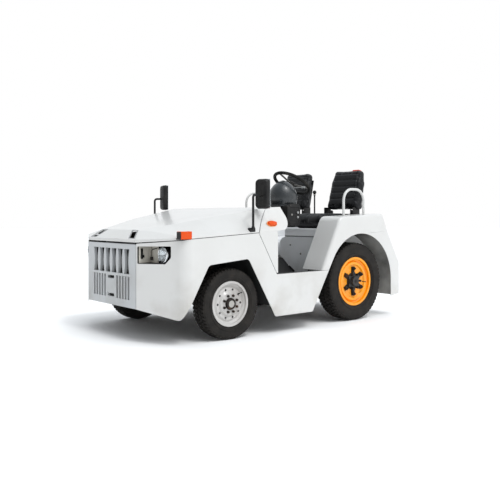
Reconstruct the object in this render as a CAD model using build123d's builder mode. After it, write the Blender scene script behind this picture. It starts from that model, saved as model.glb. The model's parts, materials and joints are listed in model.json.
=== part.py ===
from build123d import *
import os
from math import cos, radians, sin, tan

os.makedirs("parts", exist_ok=True)

# Airport baggage tug. X points forward, Y to its left, Z up, millimetres.
# The origin is on the ground under the middle of the machine.

# Sheet metal and gaps
panel = 5
inner_panel = 4
seam_gap = 5
seat_gap = 0.3

# Wheels: the tyres stand on the ground
front_bead_radius = 178
front_tyre_height = 122
front_tyre_width = 165
front_flange_height = 14
front_rim_half = 66
rear_bead_radius = 226
rear_tyre_height = 161.5
rear_tyre_width = 205
rear_flange_height = 15.5
rear_rim_half = 84
front_wheel_z = front_bead_radius + front_tyre_height
rear_wheel_z = rear_bead_radius + rear_tyre_height
rim_wall = 5
bead_clearance = 0.3

# Rear arch: radius and centre follow the tyre
arch_clearance = 87.5
arch_radius = rear_wheel_z + arch_clearance
arch_center_z = rear_wheel_z + 4.5
arch_top_z = arch_center_z + arch_radius
arch_front_angle = 31
arch_rear_bottom_z = 205

# Front arch: corners ahead of and behind the front axle
arch_nose_reach = front_wheel_z + 191
arch_tail_reach = front_wheel_z + 170

# Length: nose, front arch, wheelbase, tail behind the rear axle, hitch
nose_length = 205
wheelbase = 1600
tail_length = 190
hitch_reach = 109
front_overhang = nose_length + arch_nose_reach
rear_overhang = arch_radius + tail_length
overall_length = front_overhang + wheelbase + rear_overhang + hitch_reach
front_face_x = overall_length / 2
front_axle_x = front_face_x - front_overhang
rear_axle_x = front_axle_x - wheelbase
body_rear_x = rear_axle_x - rear_overhang

# Width: space between the seats, one seat, one rear wheel box
seat_inner_y = 152
cushion_width = 420
wheel_box_width = rear_tyre_width + 60
wheel_box_inner_y = seat_inner_y + cushion_width + 3
half_width = wheel_box_inner_y + wheel_box_width
overall_width = 2 * half_width
front_wheel_y = half_width - 115
rear_wheel_y = half_width - 137

# Front of the body in plan: flat grille, swept facets, rounded corners, straight sides
facet_sweep = 419
grille_half_width = half_width - facet_sweep
corner_x = front_face_x - nose_length
corner_radius = 110

# Seam between the hood and the side panels: distance behind the front face, height
seam_line = ((0, 814), (251, 854), (969, 893))
nose_gap = 9
seam_rear_x = front_face_x - seam_line[2][0]
seam_rear_z = seam_line[2][1]
seam_top_x = front_face_x - 1149
seam_top_z = 1124

# Frame heights: the rails ride on the front springs and on pads on the rear axle
rail_bottom_z = front_wheel_z + 60
rail_height = 90
rail_top_z = rail_bottom_z + rail_height
axle_pad_height = 92.5
rear_rail_bottom_z = rear_wheel_z + axle_pad_height
rear_rail_top_z = rear_rail_bottom_z + rail_height
floor_top_z = rail_top_z + panel

# Lower edge of the nose
nose_bottom_z = 277
corner_bottom_z = 205
corner_bottom_x = front_axle_x + arch_nose_reach + 25

# Sill, and front arch corners: distance ahead of the front axle, height
skirt_bottom_z = 153
sill_top_z = floor_top_z + 70
front_arch = (
    (arch_nose_reach, 240),
    (arch_nose_reach - 230, 2 * front_wheel_z + 40),
    (311 - arch_tail_reach, 2 * front_wheel_z + 76),
    (-arch_tail_reach, skirt_bottom_z),
)
arch_corner_radius = 45
door_front_x = front_face_x - 1195
door_seam_x = door_front_x + 12

# Rear wheel box outline: distance ahead of the rear axle, height
arch_center_x = rear_axle_x - 35
wheel_box = (
    (arch_radius + 55, sill_top_z - 1),
    (arch_radius - 205, arch_top_z + 169),
    (97 - arch_radius, arch_top_z + 199),
    (7 - arch_radius, arch_top_z + 24),
)
tail_bend_z = rear_rail_top_z - 19
tail_bottom_z = 231
wheel_box_edge_radius = 28
fender_seam = ((337 - arch_radius, arch_top_z + 1), (7 - arch_radius, arch_top_z + 17))

# Roof form of hood and cowl: distance behind the front face, crease half-width,
# crease height, height of the foot of the slope
roof_sections = (
    (-65, half_width - 618, 893, 822),
    (251, half_width - 440, 954, 872),
    (535, half_width - 280, 1009, 889),
    (1135, half_width - 107, 1115, 912),
    (1435, half_width - 107, 1130, 916),
)
nose_lip_z = 848
nose_crease_x = front_face_x - 89
nose_crease_z = 923
nose_crease_half_width = grille_half_width - 112
facet_foot_z = 865
cowl_top_rear_x = front_face_x - 1318
cowl_bulge_x = front_face_x - 1345
cowl_foot_x = front_face_x - 1285

# Frame
rail_center_y = half_width - 510
rail_width = 60
rail_wall = 8
rail_front_x = front_face_x - nose_length
rail_kick_front_x = rear_axle_x + 281
rail_kick_rear_x = rear_axle_x + 161
end_plate = 20
end_plate_bottom_z = tail_bottom_z + 30
tray_plate = 8

# Front axle and steering: the arms point straight back, so both wheels turn alike
kingpin_y = front_wheel_y - 70
kingpin_radius = 14
pin_clearance = 0.4
beam_size = 62
boss_radius = 27
boss_half_height = 42
ear_height = 20
ear_clearance = 1
spindle_radius = 17
steer_arm_back = 115
tie_pin_radius = 8

# Rear axle
axle_tube_radius = 52

# Seats, from the deck behind them forward
cushion_length = 470
cushion_height = 145
backrest_width = cushion_width - 10
backrest_height = 400
backrest_depth = 95
backrest_lift = 200
backrest_lean = 12
deck_length = 21
deck_front_x = rear_axle_x + wheel_box[2][0] + deck_length
backrest_foot_x = deck_front_x + 128
seat_front_x = backrest_foot_x + 30 + cushion_length
seat_box_front_x = seat_front_x + 40
seat_box_height = 460
seat_box_top_z = floor_top_z + seat_box_height
seat_box_lid_z = seat_box_top_z - 83
seat_center_y = seat_inner_y + cushion_width / 2

# Steering wheel
bulkhead_x = door_seam_x
steering_wheel_x = bulkhead_x - 621
steering_wheel_z = seat_box_top_z + 454
steering_wheel_y = seat_center_y + 23
steering_wheel_radius = 200
steering_rim_radius = 14
column_lean = 32


def plane_at_y(y):
    """Plane facing the side, local x forward and local y up."""
    return Plane.XZ.offset(-y)


def polyline_face(points):
    """Face inside a closed line through the points, in the open sketch."""
    Polygon(*points, align=None)


def corners_at(sketch, points):
    """Corners of a sketch nearest to the given local points."""
    return [sketch.vertices().sort_by_distance(Vector(x, y))[0] for x, y in points]


# Shared forms of the bodywork


def body_outline(inset):
    """Plan outline of the body, seen from above."""
    with BuildSketch() as outline:
        with BuildLine():
            Polyline(
                (rear_axle_x, -half_width),
                (corner_x, -half_width),
                (front_face_x, -grille_half_width),
                (front_face_x, grille_half_width),
                (corner_x, half_width),
                (rear_axle_x, half_width),
                close=True,
            )
        make_face()
        fillet(corners_at(outline, ((corner_x, -half_width), (corner_x, half_width))), corner_radius)
        if inset:
            offset(amount=-inset, kind=Kind.INTERSECTION, mode=Mode.REPLACE)
    return outline.sketch


def outline_block(inset, bottom, top):
    """The plan outline raised between two heights."""
    with BuildPart() as block:
        with BuildSketch(Plane.XY.offset(bottom)):
            add(body_outline(inset))
        extrude(amount=top - bottom)
    return block.part


def roof_form(inset):
    """Sloped top of hood and cowl with upright sides, as a solid."""
    with BuildPart() as roof:
        for back, crease, crease_z, foot_z in roof_sections:
            with BuildSketch(Plane.YZ.offset(front_face_x - back)):
                with BuildLine():
                    Polyline(
                        (-half_width, skirt_bottom_z),
                        (half_width, skirt_bottom_z),
                        (half_width, foot_z),
                        (crease, crease_z),
                        (-crease, crease_z),
                        (-half_width, foot_z),
                        close=True,
                    )
                make_face()
                if inset:
                    offset(amount=-inset, kind=Kind.INTERSECTION, mode=Mode.REPLACE)
        loft(ruled=True)
    return roof.part


def nose_planes(inset):
    """Sloped planes that cut the front lip and the two front corners."""
    run = front_face_x - nose_crease_x
    rise = nose_crease_z - nose_lip_z
    planes = [Plane(origin=(front_face_x, 0, nose_lip_z), z_dir=(rise, 0, run)).offset(-inset)]
    for side in (1, -1):
        lip = Vector(front_face_x, side * grille_half_width, nose_lip_z)
        foot = Vector(corner_x, side * half_width, facet_foot_z)
        crease = Vector(nose_crease_x, side * nose_crease_half_width, nose_crease_z)
        normal = (foot - lip).cross(crease - lip) * side
        planes.append(Plane(origin=lip, z_dir=normal).offset(-inset))
    return planes


def hood_form(inset):
    """Roof form cut to the plan outline and to the sloped nose."""
    with BuildPart() as form:
        add(roof_form(inset))
        add(outline_block(inset, skirt_bottom_z, seam_top_z + 100), mode=Mode.INTERSECT)
        for plane in nose_planes(inset):
            split(bisect_by=plane, keep=Keep.BOTTOM)
    return form.part


def wheel_box_form(inset):
    """Rear wheel box of the left side, as a solid."""
    points = [(rear_axle_x + ahead, height) for ahead, height in wheel_box]
    points += [(body_rear_x, tail_bend_z), (body_rear_x, skirt_bottom_z - 50)]
    points += [(points[0][0], skirt_bottom_z - 50)]
    with BuildPart() as form:
        with BuildSketch(plane_at_y(wheel_box_inner_y + inset)) as outline:
            polyline_face(points)
            fillet(corners_at(outline, (points[1],)), 90)
            fillet(corners_at(outline, (points[2], points[4])), 35)
            if inset:
                offset(amount=-inset, kind=Kind.INTERSECTION, mode=Mode.REPLACE)
        extrude(amount=-(half_width - wheel_box_inner_y - 2 * inset))
        outer_edges = form.faces().sort_by(Axis.Y)[-1].edges()
        fillet(outer_edges, wheel_box_edge_radius - inset)
    return form.part


def rear_arch_face(grow):
    """Rear arch opening in the side view."""
    radius = arch_radius + grow
    angle = radians(arch_front_angle)
    start = (arch_center_x + radius * cos(angle), arch_center_z + radius * sin(angle))
    reach = (start[1] - skirt_bottom_z + 60) / cos(angle)
    foot = (start[0] + reach * sin(angle), start[1] - reach * cos(angle))
    rear = (arch_center_x - radius, foot[1])
    with BuildSketch() as arch:
        with BuildLine():
            Line(foot, start)
            CenterArc((arch_center_x, arch_center_z), radius, arch_front_angle, 180 - arch_front_angle)
            Line((arch_center_x - radius, arch_center_z), rear)
            Line(rear, foot)
        make_face()
    return arch.sketch


def front_arch_points():
    """Front arch corners in the side view."""
    return [(front_axle_x + ahead, height) for ahead, height in front_arch]


def seam_points(front_lift, lift):
    """Seam between hood and side panel in the side view, from front to rear."""
    lifts = (front_lift, lift, lift)
    points = [(front_face_x - back, height + up) for (back, height), up in zip(seam_line, lifts)]
    return [(front_face_x + 20, points[0][1])] + points


# Facet plane of the left side: local x runs outward along the facet, local y up
facet_dir = Vector(corner_x - front_face_x, half_width - grille_half_width, 0).normalized()
facet_normal = Vector(facet_dir.Y, -facet_dir.X, 0)
lamp_window = ((12, 650), (277, 654), (330, 706), (330, 798), (12, 792))
lamp_window_radius = 8
pocket_wall = 3
pocket_depth = 150
lamp_along = 225
lamp_z = 726
lamp_radius = 58
lamp_front_x = front_face_x - 130
lamp_depth = 60


def facet_plane(inset):
    origin = Vector(front_face_x, grille_half_width, 0) - facet_normal * inset
    return Plane(origin=origin, x_dir=facet_dir, z_dir=facet_normal)


# Bodywork


def make_side_panel():
    """Left facet, side, skirt and sill as one folded sheet."""
    arch = front_arch_points()
    rear_angle = radians(arch_front_angle)
    arch_start_z = arch_center_z + arch_radius * sin(rear_angle)
    arch_start_x = arch_center_x + arch_radius * cos(rear_angle)

    def arch_x(height):
        return arch_start_x + (arch_start_z - height) * tan(rear_angle)

    rear_low = (arch_x(skirt_bottom_z), skirt_bottom_z)
    rear_high = (arch_x(sill_top_z), sill_top_z)
    seam = seam_points(0, 0)
    with BuildPart() as side_panel_left:
        with BuildSketch(Plane.XY.offset(skirt_bottom_z - 20)):
            add(body_outline(0))
            add(body_outline(panel), mode=Mode.SUBTRACT)
        extrude(amount=seam_top_z - skirt_bottom_z)
        with BuildSketch(plane_at_y(grille_half_width + 2)) as side_view:
            polyline_face(
                [
                    (front_face_x + 20, nose_bottom_z),
                    (front_face_x, nose_bottom_z),
                    (corner_bottom_x, corner_bottom_z),
                    *arch,
                    rear_low,
                    rear_high,
                    (door_seam_x, sill_top_z),
                    *reversed(seam),
                ]
            )
            fillet(corners_at(side_view, (arch[1], arch[2])), arch_corner_radius)
            fillet(corners_at(side_view, ((corner_bottom_x, corner_bottom_z), arch[0])), 20)
            fillet(corners_at(side_view, (arch[3], rear_low)), 12)
        extrude(amount=-half_width, mode=Mode.INTERSECT)
        with BuildSketch(facet_plane(-20)) as window:
            polyline_face(lamp_window)
            fillet(window.vertices(), lamp_window_radius)
        extrude(amount=-60, mode=Mode.SUBTRACT)
    return side_panel_left


def make_hood():
    """Front-hinged hood: hollow shell above the seam."""
    with BuildPart() as hood:
        add(hood_form(0))
        add(hood_form(panel), mode=Mode.SUBTRACT)
        with BuildSketch(plane_at_y(-half_width - 10)):
            polyline_face(
                [
                    *seam_points(nose_gap, seam_gap),
                    (seam_top_x, seam_top_z),
                    (seam_top_x - 30, seam_top_z + 60),
                    (front_face_x + 20, seam_top_z + 60),
                ]
            )
        extrude(amount=-(overall_width + 20), mode=Mode.INTERSECT)
        with BuildSketch(Plane.XY.offset(nose_lip_z - 60)):
            for side in (1, -1):
                polyline_face([(front_face_x - back, side * y) for back, y in hinge_pocket])
        extrude(amount=seam_top_z - nose_lip_z, mode=Mode.SUBTRACT)
        # straps that carry the hood on its hinge pins
        for y in hinge_strap_places:
            with BuildSketch(plane_at_y(y - hinge_strap / 2)):
                with BuildLine():
                    Polyline(
                        (hinge_x + hinge_eye_radius, hinge_z),
                        (hinge_x + hinge_eye_radius, nose_height(hinge_x + hinge_eye_radius) - 3),
                        (hinge_x - 34, nose_height(hinge_x - 34) - 3),
                        (hinge_x - 34, nose_height(hinge_x - 34) - 14),
                        (hinge_x - hinge_eye_radius, hinge_z),
                        close=True,
                    )
                make_face()
                with Locations((hinge_x, hinge_z)):
                    Circle(hinge_eye_radius)
                    Circle(hinge_pin_radius + pin_clearance, mode=Mode.SUBTRACT)
            extrude(amount=-hinge_strap)
    return hood


# Hood hinges: two slanted pockets in the nose slope, distance behind the front face and Y
hinge_y = grille_half_width - 121
hinge_pocket_skew = 70
hinge_pocket = (
    (10, hinge_y),
    (10, hinge_y + hinge_pocket_skew),
    (85, hinge_y),
    (85, hinge_y - hinge_pocket_skew),
)
hinge_half_width = 28
hinge_strap = 8
hinge_eye_radius = 9
hinge_pin_radius = 4
hinge_x = front_face_x - 27
hinge_z = nose_lip_z + 4.5
hinge_arm = 8
hinge_stem_x = front_face_x - 88
hinge_pin_half = hinge_pocket_skew + 1 + hinge_strap
hinge_strap_places = [
    side * (hinge_y + end * (hinge_pin_half - hinge_strap / 2)) for side in (1, -1) for end in (1, -1)
]


def nose_height(x):
    """Height of the nose slope at a place along X."""
    return nose_lip_z + (front_face_x - x) * (nose_crease_z - nose_lip_z) / (front_face_x - nose_crease_x)


def make_hinge_brackets():
    """Fixed halves of the hood hinges: a bent arm on the grille flange and a pin."""
    with BuildPart() as hinge_brackets:
        for side in (1, -1):
            with BuildSketch(plane_at_y(side * hinge_y - hinge_half_width)):
                with BuildLine():
                    Polyline(
                        (hinge_stem_x - hinge_arm, grille_top_z),
                        (hinge_stem_x + hinge_arm, grille_top_z),
                        (hinge_stem_x + hinge_arm, hinge_z - 32),
                        (hinge_x, hinge_z - hinge_arm),
                        (hinge_x, hinge_z + hinge_arm),
                        (hinge_stem_x - hinge_arm, hinge_z - 20),
                        close=True,
                    )
                make_face()
                with Locations((hinge_x, hinge_z)):
                    Circle(hinge_arm)
            extrude(amount=-2 * hinge_half_width)
            with BuildSketch(plane_at_y(side * hinge_y - hinge_pin_half)):
                with Locations((hinge_x, hinge_z)):
                    Circle(hinge_pin_radius)
            extrude(amount=-2 * hinge_pin_half)
    return hinge_brackets


# Grille: the plate is cut by six waisted openings above and straight slots below
grille_depth = 26
grille_side_gap = 3
grille_top_z = seam_line[0][1] - 7
grille_margin = 97
waist_pitch = 108
waist_count = int(2 * (grille_half_width - grille_margin) / waist_pitch)
waist_bottom_z = 556
waist_top_z = 764
waist_bar_end = 20
waist_bar_middle = 52
slot_bottom_z = 341
slot_top_z = 535
slot_field_inner = 84
slot_pitch = 48
slot_count = int((grille_half_width - grille_margin - slot_field_inner) / slot_pitch)
slot_bar = 18
lash_slot_width = 116
lash_slot_height = 26
lash_slot_z = (361, 517)
grille_flange = 80


def make_front_grille():
    """Grille panel with a turned top flange that carries the hood hinges."""
    wide = (waist_pitch - waist_bar_end) / 2
    narrow = (waist_pitch - waist_bar_middle) / 2
    middle_z = (waist_bottom_z + waist_top_z) / 2
    with BuildPart() as front_grille:
        with BuildSketch(Plane.YZ.offset(front_face_x - grille_depth)) as face:
            with Locations((0, (nose_bottom_z + grille_top_z) / 2)):
                Rectangle(2 * (grille_half_width - grille_side_gap), grille_top_z - nose_bottom_z)
            for index in range(waist_count):
                center = (index + 0.5 - waist_count / 2) * waist_pitch
                low_right = (center + wide, waist_bottom_z)
                top_right = (center + wide, waist_top_z)
                low_left = (center - wide, waist_bottom_z)
                top_left = (center - wide, waist_top_z)
                with BuildLine():
                    Line(low_left, low_right)
                    ThreePointArc(low_right, (center + narrow, middle_z), top_right)
                    Line(top_right, top_left)
                    ThreePointArc(top_left, (center - narrow, middle_z), low_left)
                make_face(mode=Mode.SUBTRACT)
            for side in (1, -1):
                for index in range(slot_count):
                    y = side * (slot_field_inner + (index + 0.5) * slot_pitch)
                    with Locations((y, (slot_bottom_z + slot_top_z) / 2)):
                        Rectangle(slot_pitch - slot_bar, slot_top_z - slot_bottom_z, mode=Mode.SUBTRACT)
            with Locations(*[(0, z) for z in lash_slot_z]):
                RectangleRounded(lash_slot_width, lash_slot_height, 6, mode=Mode.SUBTRACT)
        extrude(amount=grille_depth)
        with BuildSketch(Plane.XY.offset(grille_top_z - panel)):
            with Locations((front_face_x - grille_depth - grille_flange / 2, 0)):
                Rectangle(grille_flange, 2 * (grille_half_width - 50))
        extrude(amount=panel)
    return front_grille


radiator_back = 150
radiator_thickness = 60
radiator_margin = 101
radiator_headroom = 25


def make_radiator():
    """Radiator core block behind the grille."""
    with BuildPart() as radiator:
        with BuildSketch(Plane.XY.offset(tray_top_z)):
            with Locations((front_face_x - radiator_back, 0)):
                Rectangle(radiator_thickness, 2 * (grille_half_width - radiator_margin))
        extrude(amount=grille_top_z - radiator_headroom - tray_top_z)
    return radiator


def make_headlamps():
    """Pockets behind the lamp windows, each with a round lamp body in it."""
    with BuildPart() as headlamp_pockets:
        with BuildSketch(facet_plane(panel)) as outer:
            polyline_face(lamp_window)
            fillet(outer.vertices(), lamp_window_radius)
            offset(amount=pocket_wall, kind=Kind.ARC, mode=Mode.REPLACE)
        extrude(amount=pocket_depth, dir=(-1, 0, 0))
        with BuildSketch(facet_plane(panel)) as inner:
            polyline_face(lamp_window)
            fillet(inner.vertices(), lamp_window_radius)
        extrude(amount=pocket_depth - pocket_wall, dir=(-1, 0, 0), mode=Mode.SUBTRACT)
        with BuildSketch(Plane.YZ.offset(lamp_front_x)):
            with Locations(lamp_center):
                Circle(lamp_radius + 7)
                Circle(lamp_radius, mode=Mode.SUBTRACT)
        extrude(amount=-lamp_depth)
        with BuildSketch(Plane.YZ.offset(lamp_front_x - lamp_depth)):
            with Locations(lamp_center):
                Circle(lamp_radius + 7)
        extrude(amount=-(lamp_back - lamp_depth))
        mirror(about=Plane.XZ)
    return headlamp_pockets


lamp_center = (grille_half_width + lamp_along * facet_dir.Y, lamp_z)
lamp_facet_x = front_face_x + lamp_along * facet_dir.X
lamp_back = lamp_front_x - (lamp_facet_x - panel / facet_normal.X - pocket_depth) - pocket_wall / 2
lens_thickness = 14


def make_headlamp_lenses():
    """Domed lenses of the round headlamps."""
    with BuildPart() as headlamp_lenses:
        with BuildSketch(Plane.YZ.offset(lamp_front_x - lens_thickness)):
            with Locations(lamp_center):
                Circle(lamp_radius - seat_gap / 3)
        extrude(amount=lens_thickness + 6)
        fillet(headlamp_lenses.edges().group_by(Axis.X)[-1], 6)
        mirror(about=Plane.XZ)
    return headlamp_lenses


cowl_foot_z = 920


def make_cowl():
    """Cowl cap behind the hood with the wedge-shaped side walls."""
    low_z = sill_top_z + 13
    seam_slope = (seam_rear_x - door_seam_x) / (seam_rear_z - sill_top_z)
    low_seam_x = door_seam_x + (low_z - sill_top_z) * seam_slope - seam_gap - 1
    with BuildPart() as cowl:
        add(roof_form(0))
        add(roof_form(panel), mode=Mode.SUBTRACT)
        with BuildSketch(plane_at_y(-half_width - 10)):
            with BuildLine():
                Polyline(
                    (cowl_top_rear_x, seam_top_z + 60),
                    (seam_top_x - seam_gap - 30, seam_top_z + 60),
                    (seam_top_x - seam_gap, seam_top_z),
                    (seam_rear_x - seam_gap - 1, seam_rear_z),
                    (low_seam_x, low_z),
                    (door_front_x, low_z),
                    (door_front_x, cowl_foot_z - 12),
                    (cowl_foot_x, cowl_foot_z),
                )
                ThreePointArc(
                    (cowl_foot_x, cowl_foot_z),
                    (cowl_bulge_x, cowl_foot_z + 65),
                    (cowl_bulge_x + 6, cowl_foot_z + 140),
                )
                Polyline(
                    (cowl_bulge_x + 6, cowl_foot_z + 140),
                    (cowl_top_rear_x, seam_top_z + 3),
                    (cowl_top_rear_x, seam_top_z + 60),
                )
            make_face()
        extrude(amount=-(overall_width + 20), mode=Mode.INTERSECT)
    return cowl


def make_bulkhead():
    """Bulkhead between footwell and engine, fitted inside the cowl."""
    edge_y = half_width - panel - seat_gap
    with BuildPart() as bulkhead:
        add(roof_form(panel + seat_gap))
        with BuildSketch(Plane.YZ.offset(bulkhead_x)):
            polyline_face(
                [
                    (-edge_y, sill_top_z + 15),
                    (-tread_inner_y, sill_top_z + 15),
                    (-tread_inner_y, floor_top_z),
                    (tread_inner_y, floor_top_z),
                    (tread_inner_y, sill_top_z + 15),
                    (edge_y, sill_top_z + 15),
                    (edge_y, seam_top_z),
                    (-edge_y, seam_top_z),
                ]
            )
        extrude(amount=inner_panel, mode=Mode.INTERSECT)
        # opening for the drive shaft, under the tunnel
        with BuildSketch(Plane.YZ.offset(bulkhead_x)):
            with Locations((0, floor_top_z)):
                Circle(shaft_radius + shaft_gap)
        extrude(amount=inner_panel, mode=Mode.SUBTRACT)
    return bulkhead


tread_inner_y = half_width - panel - 85
tread_rear_x = rear_axle_x + wheel_box[0][0]
tunnel_top_z = floor_top_z + 145
tunnel_half_width = 60
tunnel_foot_half_width = 230


def make_floor_pan():
    """Footwell floor with raised step edges and a tunnel over the drive line."""
    front = bulkhead_x
    rear = seat_box_front_x
    with BuildPart() as floor_pan:
        with BuildSketch(Plane.YZ.offset(rear)):
            with BuildLine():
                Polyline(
                    (-half_width + panel, sill_top_z - 6),
                    (-tread_inner_y, sill_top_z - 6),
                    (-tread_inner_y, floor_top_z - panel),
                    (-tunnel_foot_half_width, floor_top_z - panel),
                    (-tunnel_half_width, tunnel_top_z - panel),
                    (tunnel_half_width, tunnel_top_z - panel),
                    (tunnel_foot_half_width, floor_top_z - panel),
                    (tread_inner_y, floor_top_z - panel),
                    (tread_inner_y, sill_top_z - 6),
                    (half_width - panel, sill_top_z - 6),
                    (half_width - panel, sill_top_z - 6 + panel),
                    (tread_inner_y - panel, sill_top_z - 6 + panel),
                    (tread_inner_y - panel, floor_top_z),
                    (tunnel_foot_half_width + 2, floor_top_z),
                    (tunnel_half_width + 2, tunnel_top_z),
                    (-tunnel_half_width - 2, tunnel_top_z),
                    (-tunnel_foot_half_width - 2, floor_top_z),
                    (-tread_inner_y + panel, floor_top_z),
                    (-tread_inner_y + panel, sill_top_z - 6 + panel),
                    (-half_width + panel, sill_top_z - 6 + panel),
                    close=True,
                )
            make_face()
        extrude(amount=front - rear)
        # the pan stops short of the rear wheels
        wheel_side = half_width - wheel_box_inner_y
        with BuildSketch(Plane.XY.offset(floor_top_z - 60)):
            for side in (1, -1):
                with Locations(((rear + tread_rear_x) / 2, side * (wheel_box_inner_y + wheel_side / 2))):
                    Rectangle(tread_rear_x - rear, wheel_side)
        extrude(amount=200, mode=Mode.SUBTRACT)
    return floor_pan


def make_seat_boxes():
    """Boxes under the two seats; the inner side is rounded above, chamfered below."""
    rear_x = deck_front_x - 48
    inner_low_y = 20
    outer_y = wheel_box_inner_y - seat_gap
    with BuildPart() as seat_boxes:
        for inset, rear, mode in ((0, rear_x, Mode.ADD), (inner_panel, rear_x - 20, Mode.SUBTRACT)):
            with BuildSketch(Plane.YZ.offset(seat_box_front_x - inset)) as section:
                polyline_face(
                    [
                        (outer_y - inset, floor_top_z - 3 * inset),
                        (tunnel_foot_half_width + 12 + inset, floor_top_z - 3 * inset),
                        (tunnel_foot_half_width + 12 + inset, floor_top_z + 22),
                        (inner_low_y + inset, floor_top_z + 167),
                        (inner_low_y + inset, seat_box_lid_z - 12),
                        (inner_low_y + 75 + inset, seat_box_lid_z - 12),
                        (inner_low_y + 75 + inset, seat_box_top_z - inset),
                        (outer_y - inset, seat_box_top_z - inset),
                    ]
                )
                fillet(corners_at(section, ((inner_low_y + inset, seat_box_lid_z - 12),)), 70)
            extrude(amount=rear - seat_box_front_x + inset, mode=mode)
        mirror(about=Plane.XZ)
    return seat_boxes


def make_fender():
    """Left rear fender: outer plate with arch, rounded edges, top shelf, inner wall."""
    seam = [(rear_axle_x + ahead, height) for ahead, height in fender_seam]
    foot_z = sill_top_z + 2
    with BuildPart() as rear_fender_left:
        add(wheel_box_form(0))
        add(wheel_box_form(panel), mode=Mode.SUBTRACT)
        with BuildSketch(plane_at_y(wheel_box_inner_y - 20)):
            polyline_face(
                [
                    (rear_axle_x + 600, foot_z),
                    (seam[0][0], foot_z),
                    (seam[0][0], seam[0][1] + 2),
                    (seam[1][0] - 20, seam[1][1] + 2),
                    (seam[1][0] - 20, 1200),
                    (rear_axle_x + 600, 1200),
                ]
            )
        extrude(amount=-half_width, mode=Mode.INTERSECT)
        with BuildSketch(plane_at_y(wheel_box_inner_y + 20)):
            add(rear_arch_face(0))
        extrude(amount=-half_width, mode=Mode.SUBTRACT)
    return rear_fender_left


def make_rear_corner():
    """Left rear corner below the fender seam."""
    seam = [(rear_axle_x + ahead, height) for ahead, height in fender_seam]
    with BuildPart() as rear_corner_left:
        add(wheel_box_form(0))
        add(wheel_box_form(panel), mode=Mode.SUBTRACT)
        with BuildSketch(plane_at_y(wheel_box_inner_y - 20)):
            polyline_face(
                [
                    (seam[0][0], seam[0][1]),
                    (seam[1][0] - 60, seam[1][1] + 4),
                    (body_rear_x - 20, seam[1][1]),
                    (body_rear_x - 20, tail_bottom_z),
                    (body_rear_x, tail_bottom_z),
                    (arch_center_x - arch_radius + 40, arch_rear_bottom_z - 7),
                    (seam[0][0], arch_rear_bottom_z - 7),
                ]
            )
        extrude(amount=-half_width, mode=Mode.INTERSECT)
        with BuildSketch(plane_at_y(wheel_box_inner_y + 20)):
            add(rear_arch_face(0))
        extrude(amount=-half_width, mode=Mode.SUBTRACT)
        # the inner wall stays behind the axle and above the tyre's lowest part
        with BuildSketch(plane_at_y(wheel_box_inner_y - 10)):
            with Locations((seam[0][0], arch_center_z - 60)):
                Rectangle(300, 400)
        extrude(amount=-(panel + 20), mode=Mode.SUBTRACT)
    return rear_corner_left


liner_wall = 3
liner_offset = 12
liner_bottom_z = arch_rear_bottom_z + 15


def make_arch_liners():
    """Curved liners inside the rear wheel boxes, bent ones inside the front arches."""
    arch = front_arch_points()
    with BuildPart() as rear_liner:
        with BuildSketch(plane_at_y(wheel_box_inner_y + panel)):
            add(rear_arch_face(liner_offset + liner_wall))
        extrude(amount=-(half_width - 2 * panel - wheel_box_inner_y))
        with BuildSketch(plane_at_y(wheel_box_inner_y)):
            add(rear_arch_face(liner_offset))
        extrude(amount=-half_width, mode=Mode.SUBTRACT)
        with BuildSketch(plane_at_y(wheel_box_inner_y - 1)):
            with Locations((arch_center_x, liner_bottom_z - 300)):
                Rectangle(4 * arch_radius, 600)
        extrude(amount=-half_width, mode=Mode.SUBTRACT)
    with BuildPart() as front_liner:
        with BuildSketch(plane_at_y(front_liner_inner_y)):
            polyline_face(arch)
            offset(amount=liner_offset + liner_wall, kind=Kind.INTERSECTION, mode=Mode.REPLACE)
        extrude(amount=-(half_width - panel - seat_gap - front_liner_inner_y))
        with BuildSketch(plane_at_y(front_liner_inner_y)):
            polyline_face(arch)
            offset(amount=liner_offset, kind=Kind.INTERSECTION, mode=Mode.REPLACE)
        extrude(amount=-half_width, mode=Mode.SUBTRACT)
        with BuildSketch(plane_at_y(front_liner_inner_y)):
            with Locations((front_axle_x, arch[0][1] + liner_offset - 250)):
                Rectangle(2000, 500)
        extrude(amount=-half_width, mode=Mode.SUBTRACT)
        add(outline_block(panel + seat_gap, 0, 1000), mode=Mode.INTERSECT)
    with BuildPart() as arch_liners:
        add(rear_liner.part)
        add(front_liner.part)
        mirror(about=Plane.XZ)
    return arch_liners


front_liner_inner_y = half_width - 400


def make_rear_body():
    """Rear deck, sloped tail and upright rear wall between the wheel boxes."""
    _, _, top, slope = [(rear_axle_x + ahead, height) for ahead, height in wheel_box]
    slant = panel * 1.12
    with BuildPart() as rear_body:
        with BuildSketch(plane_at_y(-wheel_box_inner_y + seat_gap)):
            polyline_face(
                [
                    (deck_front_x, top[1]),
                    top,
                    slope,
                    (body_rear_x, tail_bend_z),
                    (body_rear_x, tail_bottom_z),
                    (body_rear_x + panel, tail_bottom_z),
                    (body_rear_x + panel, tail_bend_z - 1),
                    (slope[0] + slant, slope[1] - 1),
                    (top[0] + 1, top[1] - panel),
                    (deck_front_x - panel, top[1] - panel),
                    (deck_front_x - panel, seat_box_top_z + seat_gap),
                    (deck_front_x, seat_box_top_z + seat_gap),
                ]
            )
        extrude(amount=-2 * (wheel_box_inner_y - seat_gap))
    return rear_body


def make_tail_lamps():
    """Round-cornered tail lamps on the rear wall."""
    with BuildPart() as tail_lamps:
        with BuildSketch(Plane.YZ.offset(body_rear_x)):
            with Locations((rear_lamp_y, rear_lamp_z), (-rear_lamp_y, rear_lamp_z)):
                RectangleRounded(rear_lamp_width, rear_lamp_height, 12)
        extrude(amount=-rear_lamp_depth)
        fillet(tail_lamps.faces().filter_by(Axis.X).sort_by(Axis.X)[:2].edges(), 6)
    return tail_lamps


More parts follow.
